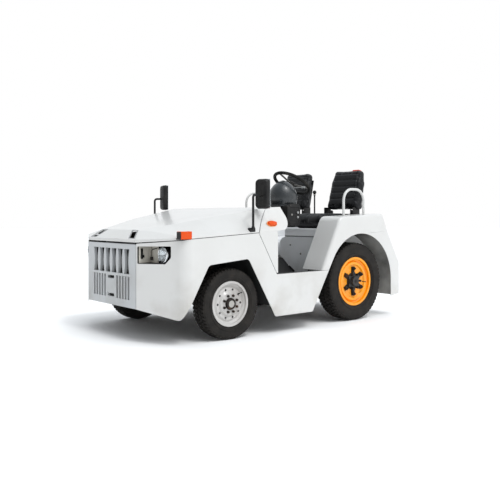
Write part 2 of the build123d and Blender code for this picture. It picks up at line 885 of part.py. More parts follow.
rear_lamp_y = wheel_box_inner_y - 105
rear_lamp_z = tail_bend_z - 71
rear_lamp_width = 150
rear_lamp_height = 75
rear_lamp_depth = 38


def make_grab_rails():
    """Bent tube handles on the fender tops."""
    with BuildPart() as grab_rails:
        with BuildLine() as path:
            FilletPolyline(
                (grab_front_x, grab_y, grab_foot_front_z),
                (grab_front_x, grab_y, grab_top_z),
                (grab_rear_x, grab_y, grab_top_z),
                (grab_rear_x, grab_y, grab_foot_rear_z),
                radius=120,
            )
        with BuildSketch(Plane.XY.offset(grab_foot_front_z)):
            with Locations((grab_front_x, grab_y)):
                Circle(grab_tube_radius)
        sweep(path=path.wire())
        mirror(about=Plane.XZ)
    return grab_rails


grab_y = half_width - 90
grab_top_z = wheel_box[2][1] + 244
grab_front_x = rear_axle_x + 130
grab_rear_x = rear_axle_x - 176
grab_tube_radius = 13


def deck_z(x):
    """Height of the fender's top shelf at a place along it."""
    (front, front_z), (rear, rear_z) = wheel_box[1], wheel_box[2]
    share = (rear_axle_x + front - x) / (front - rear)
    return front_z + (rear_z - front_z) * share


grab_foot_front_z = deck_z(grab_front_x) + 0.6
grab_foot_rear_z = deck_z(grab_rear_x) + 0.6

def seam_height(x):
    """Height of the hood seam at a place along the side."""
    points = seam_points(0, 0)[1:]
    for (ahead, ahead_z), (behind, behind_z) in zip(points, points[1:]):
        if x >= behind:
            return ahead_z + (behind_z - ahead_z) * (ahead - x) / (ahead - behind)
    return points[-1][1]


# Mirrors: a clamp on the foot of the hood's slope, a bent tube and a head
mirror_x = front_face_x - 910
mirror_y = half_width + 11
mirror_foot_z = seam_height(mirror_x) + 36
mirror_bend_z = mirror_foot_z + 264
mirror_head_x = mirror_x - 145
mirror_head_z = mirror_bend_z + 78
mirror_clamp_length = 60
mirror_clamp_width = 46
mirror_tube_radius = 7
mirror_head_height = 240
mirror_head_width = 148
mirror_head_depth = 48


def make_mirrors():
    """Mirror arms with their heads."""
    with BuildPart() as clamp:
        with BuildSketch(Plane.XY.offset(mirror_foot_z - 22)):
            with Locations((mirror_x + 8, mirror_y - mirror_clamp_width / 2)):
                RectangleRounded(mirror_clamp_length, mirror_clamp_width, 8)
        extrude(amount=36)
        add(hood_form(0), mode=Mode.SUBTRACT)
        add(hood_form(-seat_gap), mode=Mode.SUBTRACT)
    with BuildPart() as mirrors:
        add(clamp.part.solids().sort_by(SortBy.VOLUME)[-1])
        with BuildLine() as path:
            FilletPolyline(
                (mirror_x, half_width - 6, mirror_foot_z),
                (mirror_x, mirror_y, mirror_foot_z),
                (mirror_x, mirror_y, mirror_bend_z),
                (mirror_x - 65, mirror_y - 8, mirror_bend_z + 52),
                (mirror_head_x + 15, half_width - 32, mirror_bend_z + 64),
                radius=8,
            )
        with BuildSketch(plane_at_y(half_width - 6)):
            with Locations((mirror_x, mirror_foot_z)):
                Circle(mirror_tube_radius)
        sweep(path=path.wire())
        with BuildSketch(mirror_plane):
            RectangleRounded(mirror_head_width, mirror_head_height, 26)
        extrude(amount=mirror_head_depth, taper=8)
        fillet(mirrors.faces().sort_by_distance(mirror_plane.location.position)[0].edges(), 1)
        mirror(about=Plane.XZ)
    return mirrors


mirror_plane = Plane(
    origin=(mirror_head_x - 20, half_width - 45, mirror_head_z), x_dir=(0.25, 1, 0), z_dir=(1, -0.25, 0)
)
mirror_glass = 3


def make_mirror_glasses():
    """Mirror glass set on the rear side of each head."""
    with BuildPart() as mirror_glasses:
        with BuildSketch(mirror_plane):
            RectangleRounded(mirror_head_width - 16, mirror_head_height - 16, 20)
        extrude(amount=-mirror_glass)
        mirror(about=Plane.XZ)
    return mirror_glasses


def make_corner_lamps():
    """Amber lamps on the front corners of the hood."""
    with BuildPart() as corner_lamps:
        with BuildSketch(Plane.XY.offset(corner_lamp_z)) as foot:
            with Locations((corner_lamp_x, half_width - 28)):
                RectangleRounded(corner_lamp_length, corner_lamp_width, 10)
        extrude(amount=corner_lamp_height)
        add(hood_form(0), mode=Mode.SUBTRACT)
        add(hood_form(-seat_gap), mode=Mode.SUBTRACT)
    with BuildPart() as pair:
        add(corner_lamps.part.solids().sort_by(SortBy.VOLUME)[-1])
        mirror(about=Plane.XZ)
    return pair


corner_lamp_x = front_face_x - 210
corner_lamp_z = seam_height(corner_lamp_x) + seam_gap + 4
corner_lamp_length = 112
corner_lamp_width = 60
corner_lamp_height = 62


def slope_plane(x, share):
    """Plane on the left slope of the cowl, share of the way up from its foot."""
    _, crease, crease_z, foot_z = roof_sections[3]
    up = Vector(0, crease - half_width, crease_z - foot_z)
    origin = Vector(x, half_width, foot_z) + up * share
    normal = Vector(1, 0, 0).cross(up) * -1
    return Plane(origin=origin, x_dir=(-1, 0, 0), z_dir=normal if normal.Z > 0 else normal * -1)


def make_side_repeaters():
    """Oval amber lamps on the slopes of the cowl."""
    with BuildPart() as side_repeaters:
        with BuildSketch(slope_plane(seam_top_x - 1, 0.3).offset(1.5)):
            Ellipse(repeater_length / 2, repeater_height / 2)
        extrude(amount=20, taper=25)
        mirror(about=Plane.XZ)
    return side_repeaters


repeater_length = 112
repeater_height = 52


# Cockpit


def make_dash_pod():
    """Domed instrument cover on the steering column with a cone below it."""
    x = steering_wheel_x + 121
    top_z = steering_wheel_z + 26
    brim_z = steering_wheel_z - 235
    brim_x = x + pod_radius + pod_brim
    shoulder = (x + pod_radius, brim_z + 20)
    with BuildPart() as dash_pod:
        with BuildSketch(plane_at_y(steering_wheel_y)):
            with BuildLine():
                Polyline(
                    (x, top_z),
                    (x, brim_z),
                    (brim_x - 22, brim_z),
                    (brim_x, brim_z + 4),
                    (brim_x, brim_z + 16),
                    shoulder,
                )
                ThreePointArc(shoulder, (x + pod_radius - 32, top_z - 57), (x, top_z))
            make_face()
        revolve(axis=Axis((x, steering_wheel_y, 0), (0, 0, 1)))
        with BuildSketch(column_plane(270)):
            Circle(pod_cone_radius)
        extrude(amount=150, taper=14)
        with BuildSketch(column_plane(-20)):
            Circle(column_radius + seat_gap)
        extrude(amount=column_length, mode=Mode.SUBTRACT)
    return dash_pod


pod_radius = 130
pod_brim = 12
pod_cone_radius = 78
column_radius = 30
hub_drop = 20
hub_radius = 30
spoke_width = 30
column_length = (steering_wheel_z - floor_top_z) / cos(radians(column_lean)) + 40


def column_plane(along):
    """Plane across the steering column, facing down along it from the wheel's centre."""
    lean = radians(column_lean)
    down = Vector(sin(lean), 0, -cos(lean))
    origin = Vector(steering_wheel_x, steering_wheel_y, steering_wheel_z) + down * (hub_drop + along)
    return Plane(origin=origin, x_dir=(0, 1, 0), z_dir=down)


def make_steering_column():
    """Steering column tube from below the wheel to the floor."""
    with BuildPart() as steering_column:
        with BuildSketch(column_plane(1)):
            Circle(column_radius)
        extrude(amount=column_length)
        split(bisect_by=Plane.XY.offset(floor_top_z), keep=Keep.TOP)
        split(bisect_by=Plane.YZ.offset(bulkhead_x - seat_gap), keep=Keep.BOTTOM)
    return steering_column


def make_steering_wheel():
    """Steering wheel: rim, three spokes and a hub."""
    lean = radians(column_lean)
    axis_up = Vector(-sin(lean), 0, cos(lean))
    center = Vector(steering_wheel_x, steering_wheel_y, steering_wheel_z)
    wheel_plane = Plane(origin=center, x_dir=(0, 1, 0), z_dir=axis_up)
    radial = Plane(origin=center, x_dir=(0, 1, 0), z_dir=(cos(lean), 0, sin(lean)))
    with BuildPart() as steering_wheel:
        with BuildSketch(radial):
            with Locations((steering_wheel_radius - steering_rim_radius, 0)):
                Circle(steering_rim_radius)
        revolve(axis=Axis(center, axis_up))
        with BuildSketch(wheel_plane.offset(-hub_drop)):
            Circle(hub_radius)
        extrude(amount=hub_drop - 2)
        for angle in (90, 210, 330):
            with BuildSketch(wheel_plane.offset(-12)):
                with PolarLocations(0, 1, start_angle=angle):
                    with Locations(((steering_wheel_radius - 10) / 2, 0)):
                        Rectangle(steering_wheel_radius - 18, spoke_width)
            extrude(amount=8)
    return steering_wheel


def make_pedals():
    """Brake and accelerator pedals on arms from the bulkhead."""
    # outlines as distance behind the bulkhead and height over the floor
    arm = ((0, 245), (0, 267), (130, 111), (136, 87))
    pad = ((130, 93), (164, 107), (192, 57), (182, 51), (156, 93), (134, 83))
    with BuildPart() as pedals:
        for aside, width in ((-pedal_spread, brake_pad_width), (pedal_spread, throttle_pad_width)):
            y = steering_wheel_y + aside
            for outline, thickness in ((arm, pedal_arm_width), (pad, width)):
                with BuildSketch(plane_at_y(y - thickness / 2)):
                    polyline_face([(bulkhead_x - back, floor_top_z + up) for back, up in outline])
                extrude(amount=-thickness)
    return pedals


pedal_spread = 95
pedal_arm_width = 16
brake_pad_width = 60
throttle_pad_width = 80


def make_brake_lever():
    """Upright lever with a ball knob between the seats."""
    place = (rear_axle_x - 109, seat_inner_y - 30)
    with BuildPart() as brake_lever:
        with BuildSketch(Plane.XY.offset(lever_foot_z)):
            with Locations(place):
                Circle(lever_radius)
        extrude(amount=lever_ball_z - 15 - lever_foot_z)
        with Locations((*place, lever_ball_z)):
            Sphere(lever_ball_radius)
        with BuildSketch(Plane.XY.offset(lever_foot_z)):
            with Locations(place):
                RectangleRounded(90, 44, 12)
        extrude(amount=14)
    return brake_lever


lever_foot_z = seat_box_top_z + seat_gap
lever_ball_z = seat_box_top_z + 385
lever_ball_radius = 21
lever_radius = 8


def make_cushion(side):
    """Plain seat cushion."""
    with BuildPart() as cushion:
        with BuildSketch(Plane.XY.offset(seat_box_top_z + seat_gap)):
            with Locations((seat_front_x - cushion_length / 2, side * seat_center_y)):
                RectangleRounded(cushion_length, cushion_width, 40)
        extrude(amount=cushion_height)
        fillet(cushion.faces().sort_by(Axis.Z)[-1].edges(), 25)
    return cushion


def backrest_plane(side):
    """Plane at the foot of a backrest, local y along its lean."""
    lean = radians(backrest_lean)
    return Plane(
        origin=(backrest_foot_x, side * seat_center_y, seat_box_top_z + backrest_lift),
        x_dir=(0, 1, 0),
        z_dir=(-cos(lean), 0, -sin(lean)),
    )


def make_backrest(side):
    """Plain backrest, leaning back."""
    up = 1 if backrest_plane(side).y_dir.Z > 0 else -1
    with BuildPart() as backrest:
        with BuildSketch(backrest_plane(side)):
            with Locations((0, up * backrest_height / 2)):
                RectangleRounded(backrest_width, backrest_height, 45)
        extrude(amount=backrest_depth)
        fillet(backrest.faces().sort_by(Axis.X)[-1].edges(), 25)
    return backrest


def make_seat_brackets():
    """Plate behind each cushion with two posts under the backrest."""
    lean = radians(backrest_lean)
    base_z = seat_box_top_z + seat_gap
    foot = (backrest_foot_x, seat_box_top_z + backrest_lift)

    def under(back):
        return (foot[0] - back * cos(lean) + seat_gap * sin(lean), foot[1] - back * sin(lean) - seat_gap)

    front, rear = under(backrest_depth * 0.2), under(backrest_depth * 0.8)
    with BuildPart() as seat_brackets:
        for y in (seat_center_y - seat_post_spread, seat_center_y + seat_post_spread):
            with BuildSketch(plane_at_y(y - seat_post / 2)):
                polyline_face([front, rear, (rear[0], base_z), (front[0], base_z)])
            extrude(amount=-seat_post)
        with BuildSketch(Plane.XY.offset(base_z)):
            with Locations((backrest_foot_x - 50, seat_center_y)):
                Rectangle(backrest_depth + 15, backrest_width - 20)
        extrude(amount=8)
        mirror(about=Plane.XZ)
    return seat_brackets


seat_post = 10
seat_post_spread = backrest_width / 2 - 55


# Frame, axles and engine

tray_top_z = rail_bottom_z


def make_chassis_frame():
    """Ladder frame with a kicked-up rear, outriggers, front tray and rear end plate."""
    inner_y = rail_center_y - rail_width / 2
    outer_y = rail_center_y + rail_width / 2
    rear_x = body_rear_x + panel + end_plate
    rail_points = [
        (rear_x, rear_rail_bottom_z),
        (rail_kick_rear_x, rear_rail_bottom_z),
        (rail_kick_front_x, rail_bottom_z),
        (rail_front_x, rail_bottom_z),
        (rail_front_x, rail_top_z),
        (rail_kick_front_x, rail_top_z),
        (rail_kick_rear_x, rear_rail_top_z),
        (rear_x, rear_rail_top_z),
    ]
    with BuildPart() as chassis_frame:
        with BuildSketch(plane_at_y(inner_y)):
            polyline_face(rail_points)
        extrude(amount=-rail_width)
        with BuildSketch(plane_at_y(inner_y)):
            polyline_face(rail_points)
            offset(amount=-rail_wall, kind=Kind.INTERSECTION, mode=Mode.REPLACE)
        extrude(amount=-(rail_width - rail_wall), mode=Mode.SUBTRACT)
        # outriggers to the side panels: distance along X
        for x in (front_axle_x - arch_tail_reach - 29, rear_axle_x + arch_radius + 125):
            with BuildSketch(Plane.XY.offset(rail_bottom_z + 20)):
                with Locations((x, (outer_y + half_width - panel) / 2)):
                    Rectangle(50, half_width - panel - outer_y)
            extrude(amount=rail_top_z - rail_bottom_z - 20)
        # hangers of the front leaf springs
        for x in (front_axle_x - spring_half, front_axle_x + spring_half):
            with BuildSketch(Plane.XY.offset(spring_eye_z)):
                with Locations((x, rail_center_y)):
                    Rectangle(40, rail_width)
            extrude(amount=rail_bottom_z - spring_eye_z)
        mirror(about=Plane.XZ)
        # cross members between the rails: X, bottom height, top height
        cross_members = (
            (rail_front_x - 30, rail_bottom_z, rail_top_z),
            (engine_x + engine_length / 2 - 20, rail_bottom_z, engine_bottom_z),
            (engine_x - engine_length / 2 + 20, rail_bottom_z, engine_bottom_z),
            (door_front_x - 160, rail_bottom_z, rail_bottom_z + 20),
            (body_rear_x + 226, rear_rail_bottom_z, rear_rail_top_z),
        )
        for x, bottom, top in cross_members:
            with BuildSketch(Plane.XY.offset(bottom)):
                with Locations((x, 0)):
                    Rectangle(50, 2 * (inner_y + rail_width - rail_wall))
            extrude(amount=top - bottom)
        with BuildSketch(Plane.XY.offset(rail_bottom_z - tray_plate)):
            add(body_outline(panel + seat_gap))
            with Locations(((tray_rear_x + front_face_x - grille_depth) / 2, 0)):
                Rectangle(front_face_x - grille_depth - tray_rear_x, overall_width, mode=Mode.INTERSECT)
        extrude(amount=tray_plate)
        with BuildSketch(Plane.YZ.offset(body_rear_x + panel)):
            with Locations((0, (end_plate_bottom_z + tail_bend_z - 6) / 2)):
                Rectangle(2 * (wheel_box_inner_y - seat_gap), tail_bend_z - 6 - end_plate_bottom_z)
        extrude(amount=end_plate)
    return chassis_frame


tray_rear_x = front_axle_x + arch_nose_reach - 35
engine_x = front_axle_x - 40
engine_length = 560
engine_width = 2 * (rail_center_y - rail_width / 2 - 60)
engine_height = 470
engine_bottom_z = rail_bottom_z + 36
spring_half = 330
spring_eye_z = rail_bottom_z - 10
spring_width = 50
spring_pack = 22


def make_engine_block():
    """Engine as one plain block on its cross members."""
    with BuildPart() as engine_block:
        with BuildSketch(Plane.XY.offset(engine_bottom_z)):
            with Locations((engine_x, 0)):
                Rectangle(engine_length, engine_width)
        extrude(amount=engine_height)
    return engine_block


shaft_radius = 30
shaft_gap = 25
shaft_flange_radius = 48
shaft_flange = 14
bowl_radius = 150


def make_drive_shaft():
    """Drive shaft with a flange at each end, from the engine block to the rear axle."""
    front = Vector(engine_x - engine_length / 2 - seat_gap, 0, engine_bottom_z + shaft_flange_radius + 4)
    rear = Vector(rear_axle_x + bowl_radius + seat_gap, 0, rear_wheel_z)
    bend = Vector(shaft_flange, 0, 0)
    run = (rear + bend) - (front - bend)
    with BuildPart() as drive_shaft:
        for end, along in ((front, -1), (rear, 1)):
            with BuildSketch(Plane(origin=end, z_dir=(along, 0, 0))):
                Circle(shaft_flange_radius)
            extrude(amount=shaft_flange)
        with BuildSketch(Plane(origin=front - bend * 0.5, z_dir=run)):
            Circle(shaft_radius)
        extrude(amount=(rear - front + bend).length)
    return drive_shaft


def make_front_axle():
    """Front axle beam with a boss at each end for the kingpin."""
    with BuildPart() as front_axle:
        with BuildSketch(plane_at_y(-kingpin_y)):
            with Locations((front_axle_x, front_wheel_z - 8)):
                Rectangle(beam_size, beam_size - 14)
        extrude(amount=-2 * kingpin_y)
        with BuildSketch(Plane.XY.offset(front_wheel_z - boss_half_height)):
            with Locations((front_axle_x, kingpin_y), (front_axle_x, -kingpin_y)):
                Circle(boss_radius)
        extrude(amount=2 * boss_half_height)
        # the beam ends inside its bosses
        with BuildSketch(Plane.XY.offset(front_wheel_z - 100)):
            for side in (1, -1):
                with Locations((front_axle_x, side * (kingpin_y + 50))):
                    Rectangle(200, 100)
                with Locations((front_axle_x, side * kingpin_y)):
                    Circle(boss_radius, mode=Mode.SUBTRACT)
        extrude(amount=200, mode=Mode.SUBTRACT)
        with BuildSketch(Plane.XY.offset(front_wheel_z - 100)):
            with Locations((front_axle_x, kingpin_y), (front_axle_x, -kingpin_y)):
                Circle(kingpin_radius + pin_clearance)
        extrude(amount=200, mode=Mode.SUBTRACT)
    return front_axle


def spring_side(inner, outer, leaf_z, seat_z):
    """Side view of a leaf spring about the axle: thick in the middle, thin at its eyes."""
    with BuildSketch() as side:
        with BuildLine():
            ThreePointArc((-outer, leaf_z), (0, seat_z), (outer, leaf_z))
            Polyline((outer, leaf_z), (outer, spring_eye_z), (inner, spring_eye_z))
            ThreePointArc((inner, spring_eye_z), (0, seat_z + spring_pack), (-inner, spring_eye_z))
            Polyline((-inner, spring_eye_z), (-outer, spring_eye_z), (-outer, leaf_z))
        make_face()
    return side.sketch


def make_leaf_springs():
    """Leaf springs between the front axle and the frame hangers."""
    seat_z = front_wheel_z - 8 + (beam_size - 14) / 2
    inner, outer = spring_half - 15, spring_half + 15
    leaf_z = spring_eye_z - 6
    with BuildPart() as leaf_springs:
        with BuildSketch(Plane.XZ.offset(spring_width / 2 - rail_center_y)):
            with Locations((front_axle_x, 0)):
                add(spring_side(inner, outer, leaf_z, seat_z))
        extrude(amount=-spring_width)
        mirror(about=Plane.XZ)
    return leaf_springs


def make_knuckle():
    """Left steering knuckle: kingpin, two ears, spindle and steering arm."""
    ear_bottom = boss_half_height + ear_clearance
    bridge_y = kingpin_y + boss_radius + 5
    arm_tip = (front_axle_x - steer_arm_back, kingpin_y)
    with BuildPart() as knuckle:
        with BuildSketch(Plane.XY.offset(front_wheel_z - ear_bottom - ear_height)):
            with Locations((front_axle_x, kingpin_y)):
                Circle(boss_radius)
            with Locations((front_axle_x, (kingpin_y + bridge_y + 12) / 2)):
                Rectangle(2 * boss_radius, bridge_y + 12 - kingpin_y)
        extrude(amount=2 * (ear_bottom + ear_height))
        with BuildSketch(Plane.XY.offset(front_wheel_z - ear_bottom)):
            with Locations((front_axle_x, kingpin_y - 100 + bridge_y - kingpin_y)):
                Rectangle(4 * boss_radius, 200)
        extrude(amount=2 * ear_bottom, mode=Mode.SUBTRACT)
        with BuildSketch(Plane.XY.offset(front_wheel_z - ear_bottom - ear_height / 2)):
            with Locations((front_axle_x, kingpin_y)):
                Circle(kingpin_radius)
        extrude(amount=2 * ear_bottom + ear_height)
        with BuildSketch(plane_at_y(bridge_y + 12)):
            with Locations((front_axle_x, front_wheel_z)):
                Circle(spindle_radius)
        extrude(amount=-(front_hub_outer_y - 30 - bridge_y - 12))
        # steering arm from the lower ear to the tie rod
        with BuildSketch(Plane.XY.offset(front_wheel_z - ear_bottom - ear_height)):
            polyline_face(
                [
                    (front_axle_x - 12, kingpin_y + 20),
                    (front_axle_x - 12, kingpin_y - 20),
                    (arm_tip[0], kingpin_y - 14),
                    (arm_tip[0], kingpin_y + 14),
                ]
            )
            with Locations(arm_tip):
                Circle(14)
        extrude(amount=16)
        with BuildSketch(Plane.XY.offset(tie_rod_z - tie_eye_half - 2)):
            with Locations(arm_tip):
                Circle(tie_pin_radius)
        extrude(amount=front_wheel_z - ear_bottom - ear_height - tie_rod_z + tie_eye_half + 2)
    return knuckle


tie_rod_radius = 11
tie_eye_radius = 17
tie_eye_half = 13
tie_rod_z = front_wheel_z - boss_half_height - ear_clearance - ear_height - tie_eye_half - 2
tie_rod_x = front_axle_x - steer_arm_back


def make_tie_rod():
    """Tie rod with an eye on each steering arm's pin."""
    with BuildPart() as tie_rod:
        with BuildSketch(plane_at_y(-kingpin_y + 10)):
            with Locations((tie_rod_x, tie_rod_z)):
                Circle(tie_rod_radius)
        extrude(amount=-2 * (kingpin_y - 10))
        with BuildSketch(Plane.XY.offset(tie_rod_z - tie_eye_half)):
            with Locations((tie_rod_x, kingpin_y), (tie_rod_x, -kingpin_y)):
                Circle(tie_eye_radius)
        extrude(amount=2 * tie_eye_half)
        with BuildSketch(Plane.XY.offset(tie_rod_z - 40)):
            with Locations((tie_rod_x, kingpin_y), (tie_rod_x, -kingpin_y)):
                Circle(tie_pin_radius + 2 * pin_clearance)
        extrude(amount=80, mode=Mode.SUBTRACT)
    return tie_rod


def make_rear_axle():
    """Rear axle: tube, differential bowl, brake drums and pads under the rails."""
    with BuildPart() as rear_axle:
        with BuildSketch(plane_at_y(-rear_drum_inner_y)):
            with Locations((rear_axle_x, rear_wheel_z)):
                Circle(axle_tube_radius)
        extrude(amount=-2 * rear_drum_inner_y)
        with BuildSketch(Plane.XY.offset(rear_wheel_z)):
            with BuildLine():
                Polyline(
                    (rear_axle_x, -130),
                    (rear_axle_x + bowl_radius - 60, -130),
                    (rear_axle_x + bowl_radius, -60),
                    (rear_axle_x + bowl_radius, 60),
                    (rear_axle_x + bowl_radius - 60, 130),
                    (rear_axle_x, 130),
                    close=True,
                )
            make_face()
        revolve(axis=Axis((rear_axle_x, 0, rear_wheel_z), (0, 1, 0)))
        for side in (1, -1):
            with BuildSketch(plane_at_y(side * rear_drum_inner_y)):
                with Locations((rear_axle_x, rear_wheel_z)):
                    Circle(rear_drum_radius)
            extrude(amount=-side * (rear_drum_outer_y - rear_drum_inner_y))
            with BuildSketch(plane_at_y(side * rear_drum_outer_y)):
                with Locations((rear_axle_x, rear_wheel_z)):
                    Circle(rear_stub_radius)
            extrude(amount=-side * 60)
            with BuildSketch(Plane.XY.offset(rear_wheel_z)):
                with Locations((rear_axle_x, side * rail_center_y)):
                    Rectangle(110, rail_width)
            extrude(amount=axle_pad_height)
    return rear_axle


rear_drum_inner_y = rear_wheel_y - 117
rear_drum_outer_y = rear_wheel_y - 53
rear_drum_radius = rear_bead_radius - 61
rear_stub_radius = 34


# Wheels


def wheel_axis(x, z):
    return Axis((x, 0, z), (0, 1, 0))


def make_tyre(place, width, bead, rim_half):
    """Tyre section turned about the axle; place is X, axle height and Y."""
    x, z, center_y = place
    radius = z
    half = width / 2
    lip = rim_half - 7
    flange = bead + 16
    with BuildPart() as tyre:
        with BuildSketch(Plane(origin=(x, 0, z), x_dir=(0, 1, 0), z_dir=(1, 0, 0))):
            with BuildLine():
                Polyline(
                    (center_y - lip, flange),
                    (center_y - lip, bead + bead_clearance),
                    (center_y + lip, bead + bead_clearance),
                    (center_y + lip, flange),
                )
                ThreePointArc(
                    (center_y + lip, flange),
                    (center_y + half, (flange + radius) / 2),
                    (center_y + half - 8, radius - 22),
                )
                Line((center_y + half - 8, radius - 22), (center_y + half - 20, radius - 6))
                ThreePointArc(
                    (center_y + half - 20, radius - 6), (center_y, radius), (center_y - half + 20, radius - 6)
                )
                Line((center_y - half + 20, radius - 6), (center_y - half + 8, radius - 22))
                ThreePointArc(
                    (center_y - half + 8, radius - 22),
                    (center_y - half, (flange + radius) / 2),
                    (center_y - lip, flange),
                )
            make_face()
        revolve(axis=wheel_axis(x, z))
    return tyre


def make_rim(place, barrel, dish, holes):
    """Rim with flanges, drop well and dished disc; holes are count, circle, radius."""
    x, z, center_y = place
    bead, flange, rim_half, well = barrel
    disc_points, disc_wall = dish
    wall = rim_wall
    outer = [
        (-rim_half, flange),
        (-rim_half + 6, flange),
        (-rim_half + 6, bead),
        (-well - 12, bead - 3),
        (-well, bead - 22),
        (well, bead - 22),
        (well + 12, bead - 3),
        (rim_half - 6, bead),
        (rim_half - 6, flange),
        (rim_half, flange),
    ]
    inner = [
        (rim_half, bead - wall),
        (well + 12 + wall, bead - 3 - wall),
        (well + wall, bead - 22 - wall),
        (-well - wall, bead - 22 - wall),
        (-well - 12 - wall, bead - 3 - wall),
        (-rim_half, bead - wall),
    ]
    count, circle, hole_radius = holes
    disc = [*disc_points, *((along - disc_wall, radius) for along, radius in reversed(disc_points))]
    with BuildPart() as rim:
        with BuildSketch(Plane(origin=(x, 0, z), x_dir=(0, 1, 0), z_dir=(1, 0, 0))):
            polyline_face([(center_y + along, radius) for along, radius in outer + inner])
            polyline_face([(center_y + along, radius) for along, radius in disc])
        revolve(axis=wheel_axis(x, z))
        if count:
            with BuildSketch(plane_at_y(center_y)):
                with Locations((x, z)):
                    with PolarLocations(circle, count):
                        Circle(hole_radius)
            extrude(amount=-rim_half, mode=Mode.SUBTRACT)
    return rim


front_well = 30
front_disc = (
    (34, front_bead_radius - 26),
    (46, front_bead_radius - 46),
    (46, front_bead_radius - 66),
    (60, front_bead_radius - 82),
    (60, 52),
)
front_disc_wall = 5
front_holes = (10, front_bead_radius - 56, 10)
front_hub_outer_y = front_wheel_y + 88
front_hub_radius = 48
front_hub_flange_radius = front_bead_radius - 94
rear_well = 40
rear_disc = (
    (52, rear_bead_radius - 26),
    (66, rear_bead_radius - 36),
    (66, rear_bead_radius - 58),
    (52, rear_bead_radius - 68),
    (52, 62),
)
rear_disc_wall = 7
rear_holes = (0, 0, 0)
rear_lobe_count = 6
rear_lobe_circle = 76
rear_lobe_radius = 17


def make_front_hub():
    """Left front hub: bearing sleeve on the spindle, flange and grease cap."""
    disc_y = front_wheel_y + front_disc[-1][0] - front_disc_wall
    with BuildPart() as front_hub:
        with BuildSketch(plane_at_y(disc_y - 32)):
            with Locations((front_axle_x, front_wheel_z)):
                Circle(front_hub_radius)
        extrude(amount=-(front_hub_outer_y - disc_y + 24))
        with BuildSketch(plane_at_y(disc_y - 8)):
            with Locations((front_axle_x, front_wheel_z)):
                Circle(front_hub_flange_radius)
        extrude(amount=-8)
        with BuildSketch(plane_at_y(disc_y - 32)):
            with Locations((front_axle_x, front_wheel_z)):
                Circle(spindle_radius + pin_clearance)
        extrude(amount=-(front_hub_outer_y - 29 - disc_y + 32), mode=Mode.SUBTRACT)
        fillet(front_hub.faces().sort_by(Axis.Y)[-1].edges(), 6)
    return front_hub


def make_rear_hub():
    """Left rear hub: flange with six lobes and a centre cap."""
    disc_y = rear_wheel_y + rear_disc[-1][0]
    with BuildPart() as rear_hub:
        with BuildSketch(plane_at_y(disc_y + seat_gap / 3)):
            with Locations((rear_axle_x, rear_wheel_z)):
                Circle(66)
                with PolarLocations(rear_lobe_circle, rear_lobe_count, start_angle=30):
                    Circle(rear_lobe_radius)
        extrude(amount=-22)
        with BuildSketch(plane_at_y(disc_y + 20)):
            with Locations((rear_axle_x, rear_wheel_z)):
                Circle(52)
        extrude(amount=-24, taper=12)
        with BuildSketch(plane_at_y(rear_drum_outer_y + 2)):
            with Locations((rear_axle_x, rear_wheel_z)):
                Circle(60)
        extrude(amount=-(disc_y + 2 - rear_drum_outer_y))
        with BuildSketch(plane_at_y(rear_drum_outer_y)):
            with Locations((rear_axle_x, rear_wheel_z)):
                Circle(rear_stub_radius + pin_clearance)
        extrude(amount=-62, mode=Mode.SUBTRACT)
    return rear_hub


# Tow hitch: a stepped jaw with pin holes in line
hitch_width = 110
hitch_step = 70
hitch_plate = 18
hitch_count = 4
hitch_bottom_z = 300
hitch_hole_radius = 16
hitch_nose_radius = 42
hitch_back_plate = 16


def make_tow_hitch():
    """Stepped towing jaw: plates one above the other with a pin hole through all."""
    face_x = body_rear_x
    hole_x = face_x - hitch_reach + hitch_nose_radius
    top_z = hitch_bottom_z + (hitch_count - 1) * hitch_step + hitch_plate
    with BuildPart() as tow_hitch:
        with BuildSketch(Plane.YZ.offset(face_x)):
            with Locations((0, (hitch_bottom_z + top_z) / 2)):
                Rectangle(hitch_width + 60, top_z - hitch_bottom_z + 40)
        extrude(amount=-hitch_back_plate)
        for level in range(hitch_count):
            with BuildSketch(Plane.XY.offset(hitch_bottom_z + level * hitch_step)):
                with Locations(((face_x + hole_x) / 2, 0)):
                    Rectangle(face_x - hole_x, hitch_width)
                with Locations((hole_x, 0)):
                    Circle(hitch_nose_radius)
            extrude(amount=hitch_plate)
        with BuildSketch(Plane.XY.offset(hitch_bottom_z)):
            with Locations((face_x - hitch_back_plate - 6, hitch_width / 2 - 6)):
                Rectangle(16, 12)
            with Locations((face_x - hitch_back_plate - 6, -hitch_width / 2 + 6)):
                Rectangle(16, 12)
        extrude(amount=top_z - hitch_bottom_z)
        with BuildSketch(Plane.XY.offset(hitch_bottom_z - 1)):
            with Locations((hole_x, 0)):
                Circle(hitch_hole_radius)
        extrude(amount=top_z - hitch_bottom_z + 2, mode=Mode.SUBTRACT)
    return tow_hitch


def mirrored(piece):
    """The same piece for the right-hand side."""
    with BuildPart() as right:
        mirror(piece.part, about=Plane.XZ)
    return right


side_panel_left = make_side_panel()
rear_fender_left = make_fender()
rear_corner_left = make_rear_corner()
with BuildPart() as rear_corners:
    add(rear_corner_left.part)
    mirror(about=Plane.XZ)

knuckle_left = make_knuckle()
front_place = (front_axle_x, front_wheel_z, front_wheel_y)
rear_place = (rear_axle_x, rear_wheel_z, rear_wheel_y)
front_tyre_left = make_tyre(front_place, front_tyre_width, front_bead_radius, front_rim_half)
front_rim_left = make_rim(
    front_place,
    (front_bead_radius, front_bead_radius + front_flange_height, front_rim_half, front_well),
    (front_disc, front_disc_wall),
    front_holes,
)
front_hub_left = make_front_hub()
rear_tyre_left = make_tyre(rear_place, rear_tyre_width, rear_bead_radius, rear_rim_half)
rear_rim_left = make_rim(
    rear_place,
    (rear_bead_radius, rear_bead_radius + rear_flange_height, rear_rim_half, rear_well),
    (rear_disc, rear_disc_wall),
    rear_holes,
)
rear_hub_left = make_rear_hub()

